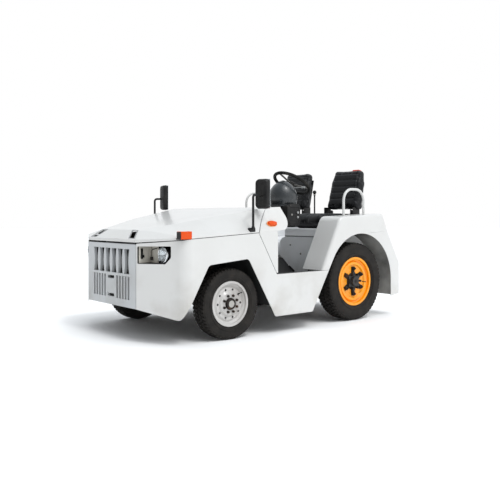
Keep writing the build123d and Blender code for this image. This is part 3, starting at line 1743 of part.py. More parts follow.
pieces = {
    "chassis_frame": make_chassis_frame(),
    "front_grille": make_front_grille(),
    "radiator": make_radiator(),
    "side_panel_left": side_panel_left,
    "side_panel_right": mirrored(side_panel_left),
    "headlamp_pockets": make_headlamps(),
    "headlamp_lenses": make_headlamp_lenses(),
    "hood": make_hood(),
    "hinge_brackets": make_hinge_brackets(),
    "corner_lamps": make_corner_lamps(),
    "cowl": make_cowl(),
    "side_repeaters": make_side_repeaters(),
    "bulkhead": make_bulkhead(),
    "dash_pod": make_dash_pod(),
    "steering_column": make_steering_column(),
    "steering_wheel": make_steering_wheel(),
    "pedals": make_pedals(),
    "brake_lever": make_brake_lever(),
    "floor_pan": make_floor_pan(),
    "seat_boxes": make_seat_boxes(),
    "seat_cushion_left": make_cushion(1),
    "seat_cushion_right": make_cushion(-1),
    "seat_back_left": make_backrest(1),
    "seat_back_right": make_backrest(-1),
    "seat_brackets": make_seat_brackets(),
    "rear_fender_left": rear_fender_left,
    "rear_fender_right": mirrored(rear_fender_left),
    "rear_corners": rear_corners,
    "arch_liners": make_arch_liners(),
    "rear_body": make_rear_body(),
    "tail_lamps": make_tail_lamps(),
    "grab_rails": make_grab_rails(),
    "mirrors": make_mirrors(),
    "mirror_glasses": make_mirror_glasses(),
    "tow_hitch": make_tow_hitch(),
    "engine_block": make_engine_block(),
    "drive_shaft": make_drive_shaft(),
    "front_axle": make_front_axle(),
    "leaf_springs": make_leaf_springs(),
    "knuckle_left": knuckle_left,
    "knuckle_right": mirrored(knuckle_left),
    "tie_rod": make_tie_rod(),
    "rear_axle": make_rear_axle(),
    "front_tyre_left": front_tyre_left,
    "front_tyre_right": mirrored(front_tyre_left),
    "front_rim_left": front_rim_left,
    "front_rim_right": mirrored(front_rim_left),
    "front_hub_left": front_hub_left,
    "front_hub_right": mirrored(front_hub_left),
    "rear_tyre_left": rear_tyre_left,
    "rear_tyre_right": mirrored(rear_tyre_left),
    "rear_rim_left": rear_rim_left,
    "rear_rim_right": mirrored(rear_rim_left),
    "rear_hub_left": rear_hub_left,
    "rear_hub_right": mirrored(rear_hub_left),
}

for name, piece in pieces.items():
    piece.part.label = name
    export_step(piece.part, f"parts/{name}.step")
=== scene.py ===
import bpy
import bmesh
import json
import math
from mathutils import Matrix, Vector


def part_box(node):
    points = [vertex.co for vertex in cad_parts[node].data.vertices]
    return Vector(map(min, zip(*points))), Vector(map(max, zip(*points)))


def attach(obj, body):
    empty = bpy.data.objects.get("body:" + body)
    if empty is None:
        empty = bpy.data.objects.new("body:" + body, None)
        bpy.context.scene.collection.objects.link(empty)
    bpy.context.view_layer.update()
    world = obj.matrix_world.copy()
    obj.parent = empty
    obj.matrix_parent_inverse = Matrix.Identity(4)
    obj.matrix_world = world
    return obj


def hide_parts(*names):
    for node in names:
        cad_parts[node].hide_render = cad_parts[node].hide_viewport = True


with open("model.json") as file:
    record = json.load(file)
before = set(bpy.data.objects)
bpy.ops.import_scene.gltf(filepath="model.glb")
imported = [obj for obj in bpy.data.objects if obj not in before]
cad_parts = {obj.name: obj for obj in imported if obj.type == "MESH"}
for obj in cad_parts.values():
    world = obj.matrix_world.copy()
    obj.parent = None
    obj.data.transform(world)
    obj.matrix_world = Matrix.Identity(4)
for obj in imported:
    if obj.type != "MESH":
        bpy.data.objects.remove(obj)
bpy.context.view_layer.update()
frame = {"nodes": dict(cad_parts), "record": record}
nodes = frame["nodes"]
print("stage: frame loaded,", len(nodes), "nodes")

ahead, leftward, upward, origin = (1, 0, 0), (0, 1, 0), (0, 0, 1), (0, 0, 0)
mirrorY = Matrix.Scale(-1, 4, leftward)


# small helpers

def hexColour(text):
    # sRGB hex to the linear values that shaders take
    parts = [int(text[i:i + 2], 16) / 255 for i in (1, 3, 5)]
    linear = [v / 12.92 if v <= 0.04045 else ((v + 0.055) / 1.055) ** 2.4 for v in parts]
    return (*linear, 1.0)


def feed(node, sources):
    # links outputs to a node's sockets, or sets a plain number
    for socket, source in sources.items():
        if isinstance(source, float):
            node.inputs[socket].default_value = source
        else:
            node.id_data.links.new(source, node.inputs[socket])


def addNode(tree, kind, output, sources=None, **settings):
    # adds a shader node and gives its output; settings are sockets by name, or the node's own properties
    node = tree.nodes.new("ShaderNode" + kind)
    for key, value in settings.items():
        name = key.replace("_", " ")
        if name in node.inputs:
            node.inputs[name].default_value = value
        else:
            setattr(node, key, value)
    feed(node, sources or {})
    return node.outputs[output]


def newMaterial(name, **uniform):
    # a material and its shader; uniform values go straight to the shader's own sockets
    material = bpy.data.materials.new(name)
    material.use_nodes = True
    tree = material.node_tree
    shader = tree.nodes["Principled BSDF"]
    for key, value in uniform.items():
        shader.inputs[key.replace("_", " ")].default_value = value
    return material, tree, shader


def deselectAll():
    if bpy.context.object and bpy.context.object.mode != "OBJECT":
        bpy.ops.object.mode_set(mode="OBJECT")
    bpy.ops.object.select_all(action="DESELECT")


def activate(piece):
    deselectAll()
    piece.select_set(True)
    bpy.context.view_layer.objects.active = piece


def current(name):
    # the object just added gets its name
    piece = bpy.context.object
    piece.name = name
    piece.data.name = name
    return piece


def editMesh(piece, kind="FACE", action="DESELECT"):
    activate(piece)
    bpy.ops.object.mode_set(mode="EDIT")
    bpy.ops.mesh.select_mode(type=kind)
    bpy.ops.mesh.select_all(action=action)


def pickFaces(piece, test):
    # selects the faces whose centre and normal pass the test
    mesh = bmesh.from_edit_mesh(piece.data)
    for face in mesh.faces:
        face.select_set(test(face.calc_center_median(), face.normal))
    mesh.select_flush(True)
    bmesh.update_edit_mesh(piece.data)


def pickPoints(piece, count):
    # selects the points of a run of edges that meet this many edges
    mesh = bmesh.from_edit_mesh(piece.data)
    for vertex in mesh.verts:
        vertex.select_set(len(vertex.link_edges) == count)
    mesh.select_flush_mode()
    bmesh.update_edit_mesh(piece.data)


def doneEditing():
    bpy.ops.object.mode_set(mode="OBJECT")


def topFace(c, n):
    return n.z > 0.99


def frontFace(c, n):
    return n.x > 0.99


def press(piece, test, *steps):
    # insets the faces that pass the test, once for each width and rise
    editMesh(piece)
    pickFaces(piece, test)
    for thickness, depth in steps:
        bpy.ops.mesh.inset(thickness=thickness, depth=depth)
    doneEditing()


def taper(piece, test, value):
    # scales the faces that pass the test about their middle
    editMesh(piece)
    pickFaces(piece, test)
    bpy.ops.transform.resize(value=value)
    doneEditing()


def shift(piece, test, value):
    # moves the faces that pass the test
    editMesh(piece)
    pickFaces(piece, test)
    bpy.ops.transform.translate(value=value)
    doneEditing()


def applyModifier(piece, kind, **settings):
    activate(piece)
    modifier = piece.modifiers.new(kind.lower(), kind)
    for key, value in settings.items():
        setattr(modifier, key, value)
    bpy.ops.object.modifier_apply(modifier=modifier.name)


def bevelAll(piece, width, segments=2, angle=35):
    # rounds the edges that turn by more than the angle
    applyModifier(piece, "BEVEL", width=width, segments=segments, limit_method="ANGLE",
                  angle_limit=math.radians(angle))


def joinAll(pieces, name):
    deselectAll()
    for piece in pieces:
        piece.select_set(True)
    bpy.context.view_layer.objects.active = pieces[0]
    bpy.ops.object.join()
    return current(name)


def copyTo(piece, matrix, name):
    # a copy with its own mesh, moved by a matrix; a mirrored one gets its faces turned back
    twin = piece.copy()
    twin.data = piece.data.copy()
    twin.name = name
    bpy.context.collection.objects.link(twin)
    twin.data.transform(matrix)
    if matrix.determinant() < 0:
        twin.data.flip_normals()
    return twin


def settle(piece, angle=35):
    # place goes into the mesh, and flat faces stay flat under smooth shading
    activate(piece)
    bpy.ops.object.transform_apply()
    bpy.ops.object.shade_smooth_by_angle(angle=math.radians(angle))


def dress(piece, look, body):
    piece.data.materials.clear()
    piece.data.materials.append(materials[look])
    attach(piece, body)


def finishPiece(piece, look, body, angle=35):
    settle(piece, angle)
    dress(piece, look, body)


def drawn(name, points, closed=False):
    # a run of edges, drawn point by point from a plane merged to one corner
    deselectAll()
    bpy.ops.mesh.primitive_plane_add(size=0.01, location=points[0])
    piece = current(name)
    bpy.ops.object.transform_apply(rotation=False, scale=False)
    editMesh(piece, "VERT", "SELECT")
    bpy.ops.mesh.merge(type="CENTER")
    for start, end in zip(points, points[1:]):
        step = Vector(end) - Vector(start)
        bpy.ops.mesh.extrude_vertices_move(TRANSFORM_OT_translate={"value": tuple(step)})
    if closed:
        pickPoints(piece, 1)
        bpy.ops.mesh.edge_face_add()
    doneEditing()
    return piece


def turned(name, section, center, axis, steps=32, closed=False):
    # a section of (along the axis, radius) spun about the axis through the centre
    axis = Vector(axis).normalized()
    out = axis.orthogonal().normalized()
    center = Vector(center)
    piece = drawn(name, [center + axis * along + out * radius for along, radius in section], closed)
    editMesh(piece, "VERT", "SELECT")
    bpy.ops.mesh.spin(steps=steps, angle=math.tau, center=tuple(center), axis=tuple(axis))
    bpy.ops.mesh.select_all(action="SELECT")
    bpy.ops.mesh.remove_doubles(threshold=0.0002)
    bpy.ops.mesh.normals_make_consistent(inside=False)
    doneEditing()
    return piece


def bentRod(name, points, radius, bend, sides=3):
    # a bent rod or hose: a run of edges with rounded corners, given thickness as a curve, made a mesh
    piece = drawn(name, points)
    editMesh(piece, "VERT")
    pickPoints(piece, 2)
    bpy.ops.mesh.bevel(offset=bend, offset_type="WIDTH", affect="VERTICES", segments=6)
    doneEditing()
    activate(piece)
    bpy.ops.object.convert(target="CURVE")
    piece = bpy.context.object
    piece.data.bevel_depth = radius
    piece.data.bevel_resolution = sides
    piece.data.use_fill_caps = True
    bpy.ops.object.convert(target="MESH")
    return current(name)


def cube(name, size, location=origin):
    deselectAll()
    bpy.ops.mesh.primitive_cube_add(size=1, location=location)
    piece = current(name)
    piece.scale = size
    bpy.ops.object.transform_apply()
    return piece


def block(name, low, high, edge, segments=2):
    # sheet or block between two corners, its edges broken as a press or a mould leaves them
    low, high = Vector(low), Vector(high)
    piece = cube(name, high - low, (low + high) / 2)
    bevelAll(piece, edge, segments)
    return piece


def prism(name, radius, height, location, rotation=origin):
    # hexagon, its top and bottom across z before it is turned
    deselectAll()
    bpy.ops.mesh.primitive_cylinder_add(vertices=6, radius=radius, depth=height, location=location,
                                        rotation=rotation)
    piece = current(name)
    bpy.ops.object.transform_apply()
    return piece


def alongAxes(x, y, z):
    # matrix that turns a piece's own axes to these
    return Matrix((x, y, z)).transposed().to_4x4()


def facing(point, outward):
    # matrix that takes a piece made at the origin, facing up, to a place and a direction
    return Matrix.Translation(Vector(point)) @ Vector(outward).to_track_quat("Z", "Y").to_matrix().to_4x4()


def pairOf(piece, name, body, look, angle=35):
    # the finished left piece, and its mirror image on the right
    finishPiece(piece, look, body.replace("SIDE", "left"), angle)
    twin = copyTo(piece, mirrorY, name + "_right")
    dress(twin, look, body.replace("SIDE", "right"))
    piece.name = name + "_left"


# materials

def paintedSteel(name, clean, dirty, rough, dirtHeight=0.35, chips=0.0):
    # sprayed steel panel: even colour, faint orange peel 3 mm wide, road dust that thickens low down
    material, tree, shader = newMaterial(name, Coat_Weight=0.25, Coat_Roughness=0.1)
    place = addNode(tree, "TexCoord", "Object")
    height = addNode(tree, "SeparateXYZ", "Z", {"Vector": place})
    cloud = addNode(tree, "TexNoise", "Fac", {"Vector": place}, Scale=3.0, Detail=6.0)
    low = addNode(tree, "MapRange", "Result", {"Value": height}, From_Min=dirtHeight + 0.35,
                  From_Max=dirtHeight - 0.25, To_Max=0.75)
    streak = addNode(tree, "MapRange", "Result", {"Value": cloud}, From_Min=0.42, From_Max=0.75)
    dust = addNode(tree, "Math", 0, {0: low, 1: streak}, operation="MULTIPLY")
    haze = addNode(tree, "Math", 0, {0: streak, 1: 0.10}, operation="MULTIPLY")
    total = addNode(tree, "Math", 0, {0: dust, 1: haze}, operation="ADD", use_clamp=True)
    colour = addNode(tree, "Mix", "Result", {"Factor": total}, data_type="RGBA", A=hexColour(clean),
                     B=hexColour(dirty))
    if chips:  # specks where the paint is through to brown primer, inside the dusty streaks
        fleck = addNode(tree, "TexVoronoi", "Distance", {"Vector": place}, Scale=38.0)
        chip = addNode(tree, "MapRange", "Result", {"Value": fleck}, From_Min=chips, From_Max=chips * 0.6)
        gate = addNode(tree, "Math", 0, {0: chip, 1: streak}, operation="MULTIPLY")
        colour = addNode(tree, "Mix", "Result", {"Factor": gate, "A": colour}, data_type="RGBA",
                         B=hexColour("#5a4636"))
    gloss = addNode(tree, "MapRange", "Result", {"Value": total}, To_Min=rough, To_Max=min(1.0, rough + 0.35))
    peel = addNode(tree, "TexNoise", "Fac", {"Vector": place}, Scale=330.0, Detail=2.0)
    bump = addNode(tree, "Bump", "Normal", {"Height": peel}, Strength=0.035, Distance=0.001)
    feed(shader, {"Base Color": colour, "Roughness": gloss, "Normal": bump})
    return material


def mouldedPlastic(name, colour, rough, grain=0.0, dusty=0.15, shine=0.35):
    # moulded ABS: fine sparkle of the mould's grain, pale dust in patches
    material, tree, shader = newMaterial(name, Specular_IOR_Level=shine)
    place = addNode(tree, "TexCoord", "Object")
    cloud = addNode(tree, "TexNoise", "Fac", {"Vector": place}, Scale=9.0, Detail=6.0)
    dust = addNode(tree, "MapRange", "Result", {"Value": cloud}, From_Min=0.45, From_Max=0.8, To_Max=dusty)
    tint = addNode(tree, "Mix", "Result", {"Factor": dust}, data_type="RGBA", A=hexColour(colour),
                   B=hexColour("#6f6b65"))
    gloss = addNode(tree, "MapRange", "Result", {"Value": cloud}, To_Min=rough - 0.06, To_Max=rough + 0.1)
    feed(shader, {"Base Color": tint, "Roughness": gloss})
    if grain:
        pebble = addNode(tree, "TexVoronoi", "Distance", {"Vector": place}, Scale=700.0)
        bump = addNode(tree, "Bump", "Normal", {"Height": pebble}, Strength=grain, Distance=0.0006)
        feed(shader, {"Normal": bump})
    return material


def vinylLeathercloth(name, colour):
    # embossed vinyl: pebble grain about 1.5 mm, a low sheen that is higher on worn crowns
    material, tree, shader = newMaterial(name, Specular_IOR_Level=0.32)
    place = addNode(tree, "TexCoord", "Object")
    cells = addNode(tree, "TexVoronoi", "Distance", {"Vector": place}, Scale=620.0)
    fold = addNode(tree, "TexNoise", "Fac", {"Vector": place}, Scale=26.0, Detail=4.0)
    both = addNode(tree, "Math", 0, {0: cells, 1: fold, 2: fold}, operation="MULTIPLY_ADD")
    bump = addNode(tree, "Bump", "Normal", {"Height": both}, Strength=0.35, Distance=0.0012)
    wear = addNode(tree, "MapRange", "Result", {"Value": fold}, To_Min=0.34, To_Max=0.52)
    tint = addNode(tree, "Mix", "Result", {"Factor": fold}, data_type="RGBA", A=hexColour(colour),
                   B=hexColour("#101216"))
    feed(shader, {"Base Color": tint, "Roughness": wear, "Normal": bump})
    return material


def dustySkin(name, clean, dirty, patches, skin, **uniform):
    # dark skin with paler or rustier patches, and a fine grain that stands up by about 1 mm
    material, tree, shader = newMaterial(name, **uniform)
    scale, low, high, most = patches
    place = addNode(tree, "TexCoord", "Object")
    cloud = addNode(tree, "TexNoise", "Fac", {"Vector": place}, Scale=scale, Detail=8.0)
    patch = addNode(tree, "MapRange", "Result", {"Value": cloud}, From_Min=low, From_Max=high, To_Max=most)
    tint = addNode(tree, "Mix", "Result", {"Factor": patch}, data_type="RGBA", A=hexColour(clean),
                   B=hexColour(dirty))
    fine = addNode(tree, "TexNoise", "Fac", {"Vector": place}, Scale=skin[0], Detail=skin[1])
    bump = addNode(tree, "Bump", "Normal", {"Height": fine}, Strength=skin[2], Distance=0.001)
    feed(shader, {"Base Color": tint, "Normal": bump})
    return material


def tyreRubberLook(name):
    # cured rubber: dark brown-black, dusty in patches
    return dustySkin(name, "#191715", "#37322d", (14.0, 0.35, 0.8, 0.5), (240.0, 3.0, 0.15),
                     Roughness=0.78, Specular_IOR_Level=0.3)


def castIronLook(name, colour, rust):
    # sand-cast iron under oil and dust: grainy skin about 2 mm, rust in patches
    return dustySkin(name, colour, "#5b3a22", (12.0, 0.5, 0.72, rust), (480.0, 2.0, 0.3),
                     Roughness=0.62, Metallic=0.35)


def plainMetal(name, colour, rough):
    # bare or zinc-plated steel with a slight unevenness of gloss
    material, tree, shader = newMaterial(name, Base_Color=hexColour(colour), Metallic=1.0)
    place = addNode(tree, "TexCoord", "Object")
    cloud = addNode(tree, "TexNoise", "Fac", {"Vector": place}, Scale=60.0, Detail=6.0)
    gloss = addNode(tree, "MapRange", "Result", {"Value": cloud}, To_Min=rough - 0.08, To_Max=rough + 0.12)
    feed(shader, {"Roughness": gloss})
    return material


def lampPlastic(name, colour):
    # transparent coloured acrylic over a ribbed inside
    material, tree, shader = newMaterial(
        name, Base_Color=hexColour(colour), Roughness=0.22, Specular_IOR_Level=0.3, Subsurface_Weight=0.25,
        Subsurface_Radius=(0.01, 0.005, 0.002))
    place = addNode(tree, "TexCoord", "Object")
    rib = addNode(tree, "TexWave", "Fac", {"Vector": place}, Scale=30.0)
    feed(shader, {"Normal": addNode(tree, "Bump", "Normal", {"Height": rib}, Strength=0.4, Distance=0.0015)})
    return material


def clearGlass(name):
    # pressed lamp glass: clear, slightly wavy
    material, tree, shader = newMaterial(name, Base_Color=hexColour("#f2f5f6"), Roughness=0.05,
                                         Transmission_Weight=1.0, IOR=1.5)
    place = addNode(tree, "TexCoord", "Object")
    flute = addNode(tree, "TexWave", "Fac", {"Vector": place}, bands_direction="Y", Scale=22.0)
    feed(shader, {"Normal": addNode(tree, "Bump", "Normal", {"Height": flute}, Strength=0.3, Distance=0.002)})
    return material


def finnedCore(name):
    # folded aluminium fins between flat tubes, drawn 6 mm apart so they show, dark with road dust
    material, tree, shader = newMaterial(name, Roughness=0.6, Metallic=0.4)
    place = addNode(tree, "TexCoord", "Object")
    fins = addNode(tree, "TexWave", "Fac", {"Vector": place}, bands_direction="Y", Scale=52.0)
    tint = addNode(tree, "Mix", "Result", {"Factor": fins}, data_type="RGBA", A=hexColour("#0c0c0c"),
                   B=hexColour("#4c4c4a"))
    bump = addNode(tree, "Bump", "Normal", {"Height": fins}, Strength=0.6, Distance=0.003)
    feed(shader, {"Base Color": tint, "Normal": bump})
    return material


def dustAndPaintedLightArchLiner(name):
    # black liner in front; toward the back it is painted mid grey, partly as painted daylight falling into
    # the arch, partly as dried dust
    material, tree, shader = newMaterial(name, Roughness=0.75)
    place = addNode(tree, "TexCoord", "Object")
    along = addNode(tree, "SeparateXYZ", "X", {"Vector": place})
    back = addNode(tree, "MapRange", "Result", {"Value": along}, From_Min=-0.75, From_Max=-1.15)
    cloud = addNode(tree, "TexNoise", "Fac", {"Vector": place}, Scale=6.0, Detail=6.0)
    patch = addNode(tree, "Math", 0, {0: back, 1: cloud}, operation="MULTIPLY", use_clamp=True)
    tint = addNode(tree, "Mix", "Result", {"Factor": patch}, data_type="RGBA", A=hexColour("#0c0c0c"),
                   B=hexColour("#c4c2bd"))
    feed(shader, {"Base Color": tint})
    return material


finishes = {  # how each finish is made, then its colours and amounts
    "dustAndPaintedLightArchLiner": (dustAndPaintedLightArchLiner,),
    "whiteEnamel": (paintedSteel, "#d5d5d3", "#a09a90", 0.28),
    # white enamel darkened as painted shade, for the grille that faces away from the light
    "whiteEnamelPaintedShade": (paintedSteel, "#bcbfc1", "#97938b", 0.3),
    "greyEnamel": (paintedSteel, "#f2f4f6", "#aaa59c", 0.34, 0.6),
    "beigePrimer": (paintedSteel, "#c9c5ba", "#8a8478", 0.5),
    "hingeGrey": (paintedSteel, "#8c8e90", "#6b6862", 0.4),
    "blackChassisPaint": (paintedSteel, "#0b0b0c", "#2c2925", 0.5, 0.5),
    "orangeWheelPaint": (paintedSteel, "#ffa200", "#a85a08", 0.36, 0.2, 0.05),
    "silverWheelPaint": (paintedSteel, "#c2c0bd", "#5d4a3c", 0.3, 0.3, 0.09),
    "grainedBlackPlastic": (mouldedPlastic, "#0d0d0e", 0.5, 0.25, 0.12),
    "darkPlasticAndPaintedShadow": (mouldedPlastic, "#0a0a0a", 0.8, 0.2, 0.25, 0.15),
    # matte black plastic of the hinge brackets, also used for the seat lid's painted shadow strip
    "glossyPodPlastic": (mouldedPlastic, "#2c3033", 0.24, 0.0, 0.08, 0.6),
    "blackRubber": (mouldedPlastic, "#111110", 0.7, 0.3, 0.3, 0.25),
    "greyStalkPlastic": (mouldedPlastic, "#9a9c9c", 0.4, 0.0, 0.1),
    "orangeTabPlastic": (mouldedPlastic, "#e23c12", 0.4, 0.0, 0.05),
    "paleOrangeBezel": (mouldedPlastic, "#f7a04c", 0.35, 0.0, 0.1),
    "amberLens": (lampPlastic, "#dc4c00"),
    "redLens": (lampPlastic, "#8f0a08"),
    "clearLampGlass": (clearGlass,),
    "silveredMirror": (plainMetal, "#e4e8ea", 0.1),
    "blackSeatVinyl": (vinylLeathercloth, "#08090b"),
    "blackTyreRubber": (tyreRubberLook,),
    "oilyCastIron": (castIronLook, "#1b1a19", 0.5),
    "rustyCastIron": (castIronLook, "#241d18", 0.9),
    "wornSteel": (plainMetal, "#8d8a86", 0.42),
    "zincBolt": (plainMetal, "#b4b2ad", 0.36),
    "chromedReflector": (plainMetal, "#d9dcde", 0.12),
    "finnedCore": (finnedCore,),
}
materials = {name: make(name, *amounts) for name, (make, *amounts) in finishes.items()}

slotLooks = {
    "body_paint": "whiteEnamel",
    "grey_paint": "greyEnamel",
    "chassis_paint": "blackChassisPaint",
    "rear_rim_paint": "orangeWheelPaint",
    "front_rim_paint": "silverWheelPaint",
    "black_plastic": "grainedBlackPlastic",
    "pod_plastic": "glossyPodPlastic",
    "amber_plastic": "amberLens",
    "red_plastic": "redLens",
    "lens_glass": "clearLampGlass",
    "mirror_glass": "silveredMirror",
    "seat_vinyl": "blackSeatVinyl",
    "tyre_rubber": "blackTyreRubber",
    "cast_grey": "oilyCastIron",
    "steel": "wornSteel",
}
nodeLooks = {  # nodes whose finish differs from the others of their slot; the grille's darker white is painted shade, and the arch liners' grey at the back is partly painted light
    "arch_liners": "dustAndPaintedLightArchLiner",
    "front_grille": "whiteEnamelPaintedShade",
    "hinge_brackets": "darkPlasticAndPaintedShadow",
    "seat_brackets": "grainedBlackPlastic",
    "radiator": "finnedCore",
    "front_hub_left": "rustyCastIron",
    "front_hub_right": "rustyCastIron",
    "rear_corners": "whiteEnamel",
}
nodeSlots = {entry["node"]: entry["material_slot"] for entry in frame["record"]["subparts"]}
for nodeName, node in nodes.items():
    look = materials[nodeLooks.get(nodeName, slotLooks[nodeSlots[nodeName]])]
    for slotIndex in range(len(node.material_slots)):
        node.material_slots[slotIndex].material = look
    if not node.material_slots:
        node.data.materials.append(look)
print("stage: finishes on", len(nodes), "nodes")


# tyres: a turned carcass with ribs on its side, and tread blocks in rows

tyreSizes = {
    "front": {"blocks": 54, "rows": 4, "groove": 0.010, "blockDepth": 0.009, "sideRing": 0.004},
    "rear": {"blocks": 60, "rows": 4, "groove": 0.013, "blockDepth": 0.011, "sideRing": 0.005},
}
wheels = [(end, side) for end in ("front", "rear") for side in ("left", "right")]


def treadBlock(size, center, y, radius, rowWidth, row):
    # one block on top of the tyre: narrower outside, low at the shoulder, leaning with its row
    pitch = math.tau / size["blocks"]
    buried = 0.003
    shape = cube("treadBlock", (radius * pitch * 0.78, rowWidth, size["blockDepth"] + 2 * buried),
                 (center.x, center.y + y, center.z + radius - 0.5 * size["blockDepth"] - buried))
    taper(shape, lambda c, n: n.z > 0.5, (0.86, 0.95, 1))
    if row in (0, size["rows"] - 1):
        shoulder = -1 if row == 0 else 1
        shift(shape, lambda c, n: n.y * shoulder > 0.5, (0, 0, -0.006))
    for vertex in shape.data.vertices:
        vertex.co.x += (0.35 if row % 2 else -0.35) * (vertex.co.y - center.y - y)
    return shape


def makeTyre(end, side):
    size = tyreSizes[end]
    nodeName = f"{end}_tyre_{side}"
    low, high = (Vector(corner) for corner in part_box(nodeName))
    rimLow, rimHigh = (Vector(corner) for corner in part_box(f"{end}_rim_{side}"))
    center = (low + high) / 2
    radius = (high.z - low.z) / 2
    half = (high.y - low.y) / 2
    flange = (rimHigh.z - rimLow.z) / 2
    beadHalf = (rimHigh.y - rimLow.y) / 2 - 0.0065
    bead = flange - 0.0135
    inner = radius - size["blockDepth"]
    step = size["sideRing"]
    halfSection = [
        (-beadHalf, bead), (-beadHalf, flange + 0.002), (-beadHalf - 0.006, flange + 0.009),
        (-half * 0.93, flange + 0.018), (-half * 0.955, flange + 0.026),
        (-half * 0.955 - step, flange + 0.029), (-half * 0.965 - step, flange + 0.036),
        (-half * 0.972, flange + 0.039),
        (-half * 0.985, (flange + inner) / 2), (-half * 0.985, inner - 0.040), (-half * 0.97, inner - 0.026),
        (-half * 0.93, inner - 0.010), (-half * 0.84, inner - 0.003), (-half * 0.42, inner),
    ]
    section = halfSection + [(-y, r) for y, r in reversed(halfSection)]
    parts = [turned(nodeName + "Carcass", section, center, leftward, 120, True)]
    rowWidth = (half * 1.76 - size["groove"] * (size["rows"] - 1)) / size["rows"]
    for row in range(size["rows"]):
        y = -half * 0.88 + rowWidth / 2 + row * (rowWidth + size["groove"])
        shape = treadBlock(size, center, y, radius, rowWidth, row)
        for index in range(size["blocks"]):
            angle = (index + (row % 2) * 0.5) * math.tau / size["blocks"]
            turn = Matrix.Translation(center) @ Matrix.Rotation(angle, 4, "Y") @ Matrix.Translation(-center)
            parts.append(copyTo(shape, turn, "treadBlock"))
        bpy.data.objects.remove(shape)
    tyre = joinAll(parts, nodeName + "Treaded")
    finishPiece(tyre, "blackTyreRubber", f"{end}_wheel_{side}", 30)
    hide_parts(nodeName)


for end, side in wheels:
    makeTyre(end, side)
print("stage: tyres")


# wheel nuts on their studs, and the valve stem with its cap, leaning outward through the disc

wheelTrim = {
    "front": {"nuts": 8, "circle": 0.072, "nut": 0.011, "height": 0.016, "face": 0.060,
              "valve": (-0.098, 0.046, 0.075), "look": "rustyCastIron"},
    "rear": {"nuts": 6, "circle": 0.076, "nut": 0.0115, "height": 0.020, "face": 0.074,
             "valve": (-0.128, 0.066, -0.012), "look": "oilyCastIron"},
}
valveSection = [(0, 0), (0, 0.0052), (0.012, 0.0052), (0.014, 0.0038), (0.026, 0.0038), (0.027, 0.0048),
                (0.038, 0.0048), (0.040, 0.0036), (0.040, 0)]


def wheelNut(center, outward, radius, height):
    # hexagon with a chamfered top and a stud end standing out of it
    nut = prism("wheelNut", radius, height, center, (math.radians(-90 * outward), 0, 0))
    editMesh(nut)
    pickFaces(nut, lambda c, n: n.y * outward > 0.9)
    bpy.ops.mesh.inset(thickness=radius * 0.18, depth=radius * 0.14)
    bpy.ops.mesh.inset(thickness=radius * 0.28)
    bpy.ops.mesh.extrude_region_move(TRANSFORM_OT_translate={"value": (0, outward * radius * 0.5, 0)})
    doneEditing()
    return nut


def makeWheelTrim(end, side):
    trim = wheelTrim[end]
    body = f"{end}_wheel_{side}"
    outward = 1 if side == "left" else -1
    low, high = (Vector(corner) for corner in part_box(f"{end}_rim_{side}"))
    center = (low + high) / 2
    faceY = center.y + outward * trim["face"]
    nuts = []
    for index in range(trim["nuts"]):
        angle = math.tau * (index + 0.5) / trim["nuts"]
        place = (center.x + trim["circle"] * math.sin(angle), faceY + outward * trim["height"] / 2,
                 center.z + trim["circle"] * math.cos(angle))
        nuts.append(wheelNut(place, outward, trim["nut"], trim["height"]))
    finishPiece(joinAll(nuts, f"{end}_wheel_nuts_{side}"), trim["look"], body, 30)
    x, y, z = trim["valve"]
    foot = center + Vector((x, outward * y, z))
    valve = turned(f"{end}_valve_{side}", valveSection, foot, (x * 0.8, outward * 0.12, z * 0.8), 12)
    finishPiece(valve, "blackRubber", body, 30)


for end, side in wheels:
    makeWheelTrim(end, side)
print("stage: wheel nuts")


# headlamps: polished bowl behind the lens, a bulb, a bezel, and the plate they are screwed to

headlamp = {
    "at": (1.405, 0.6231, 0.726), "radius": 0.058, "plateX": 1.402,
    "bowl": [(-0.053, 0), (-0.0525, 0.010), (-0.047, 0.024), (-0.036, 0.040), (-0.024, 0.050),
             (-0.016, 0.0555), (-0.0145, 0.0575), (-0.016, 0.0578), (-0.026, 0.053), (-0.038, 0.043),
             (-0.049, 0.027), (-0.0545, 0.011), (-0.055, 0)],
    "bulb": [(-0.052, 0), (-0.052, 0.008), (-0.044, 0.008), (-0.042, 0.0055), (-0.034, 0.006),
             (-0.029, 0.0045), (-0.026, 0.002), (-0.0255, 0)],
}


def makeHeadlamp():
    at, r, front = headlamp["at"], headlamp["radius"], headlamp["plateX"]
    bezel = [(0.0005, r + 0.001), (0.005, r + 0.0005), (0.0085, r + 0.003), (0.008, r + 0.006),
             (0.004, r + 0.0095), (-0.010, r + 0.0105), (-0.010, r + 0.0075), (0.0005, r + 0.0065)]
    for name, section, look, steps, closed in (
            ("lamp_bowl", headlamp["bowl"], "chromedReflector", 40, False),
            ("lamp_bulb", headlamp["bulb"], "zincBolt", 16, False),
            ("lamp_bezel", bezel, "chromedReflector", 56, True)):
        pairOf(turned(name, section, at, ahead, steps, closed), name, "chassis", look)
    # folded plate on the inner side of the pocket, with a pressed field and a turned edge
    plate = block("lampPlate", (front - 0.004, 0.436, 0.656), (front, 0.552, 0.792), 0.0012)
    press(plate, lambda c, n: n.x > 0.99 and abs(c.y - 0.494) < 0.02, (0.012, 0), (0.003, -0.002))
    pairOf(plate, "lamp_plate", "chassis", "beigePrimer")
    clip = block("wireClip", (front, 0.452, 0.676), (front + 0.016, 0.474, 0.704), 0.003)
    press(clip, frontFace, (0.004, -0.002))
    pairOf(clip, "wire_clip", "chassis", "blackRubber")
    run = [(front + 0.008, 0.463, 0.690), (front + 0.010, 0.463, 0.760), (front - 0.002, 0.550, 0.782)]
    pairOf(bentRod("lampWire", run, 0.003, 0.02), "lamp_wire", "chassis", "blackRubber")


makeHeadlamp()


# pale primer on the pocket's inner wall, with the harness bracket that shows at its mouth

pocketWall = {"x": (1.392, 1.516), "y": 0.4345, "z": (0.655, 0.792)}


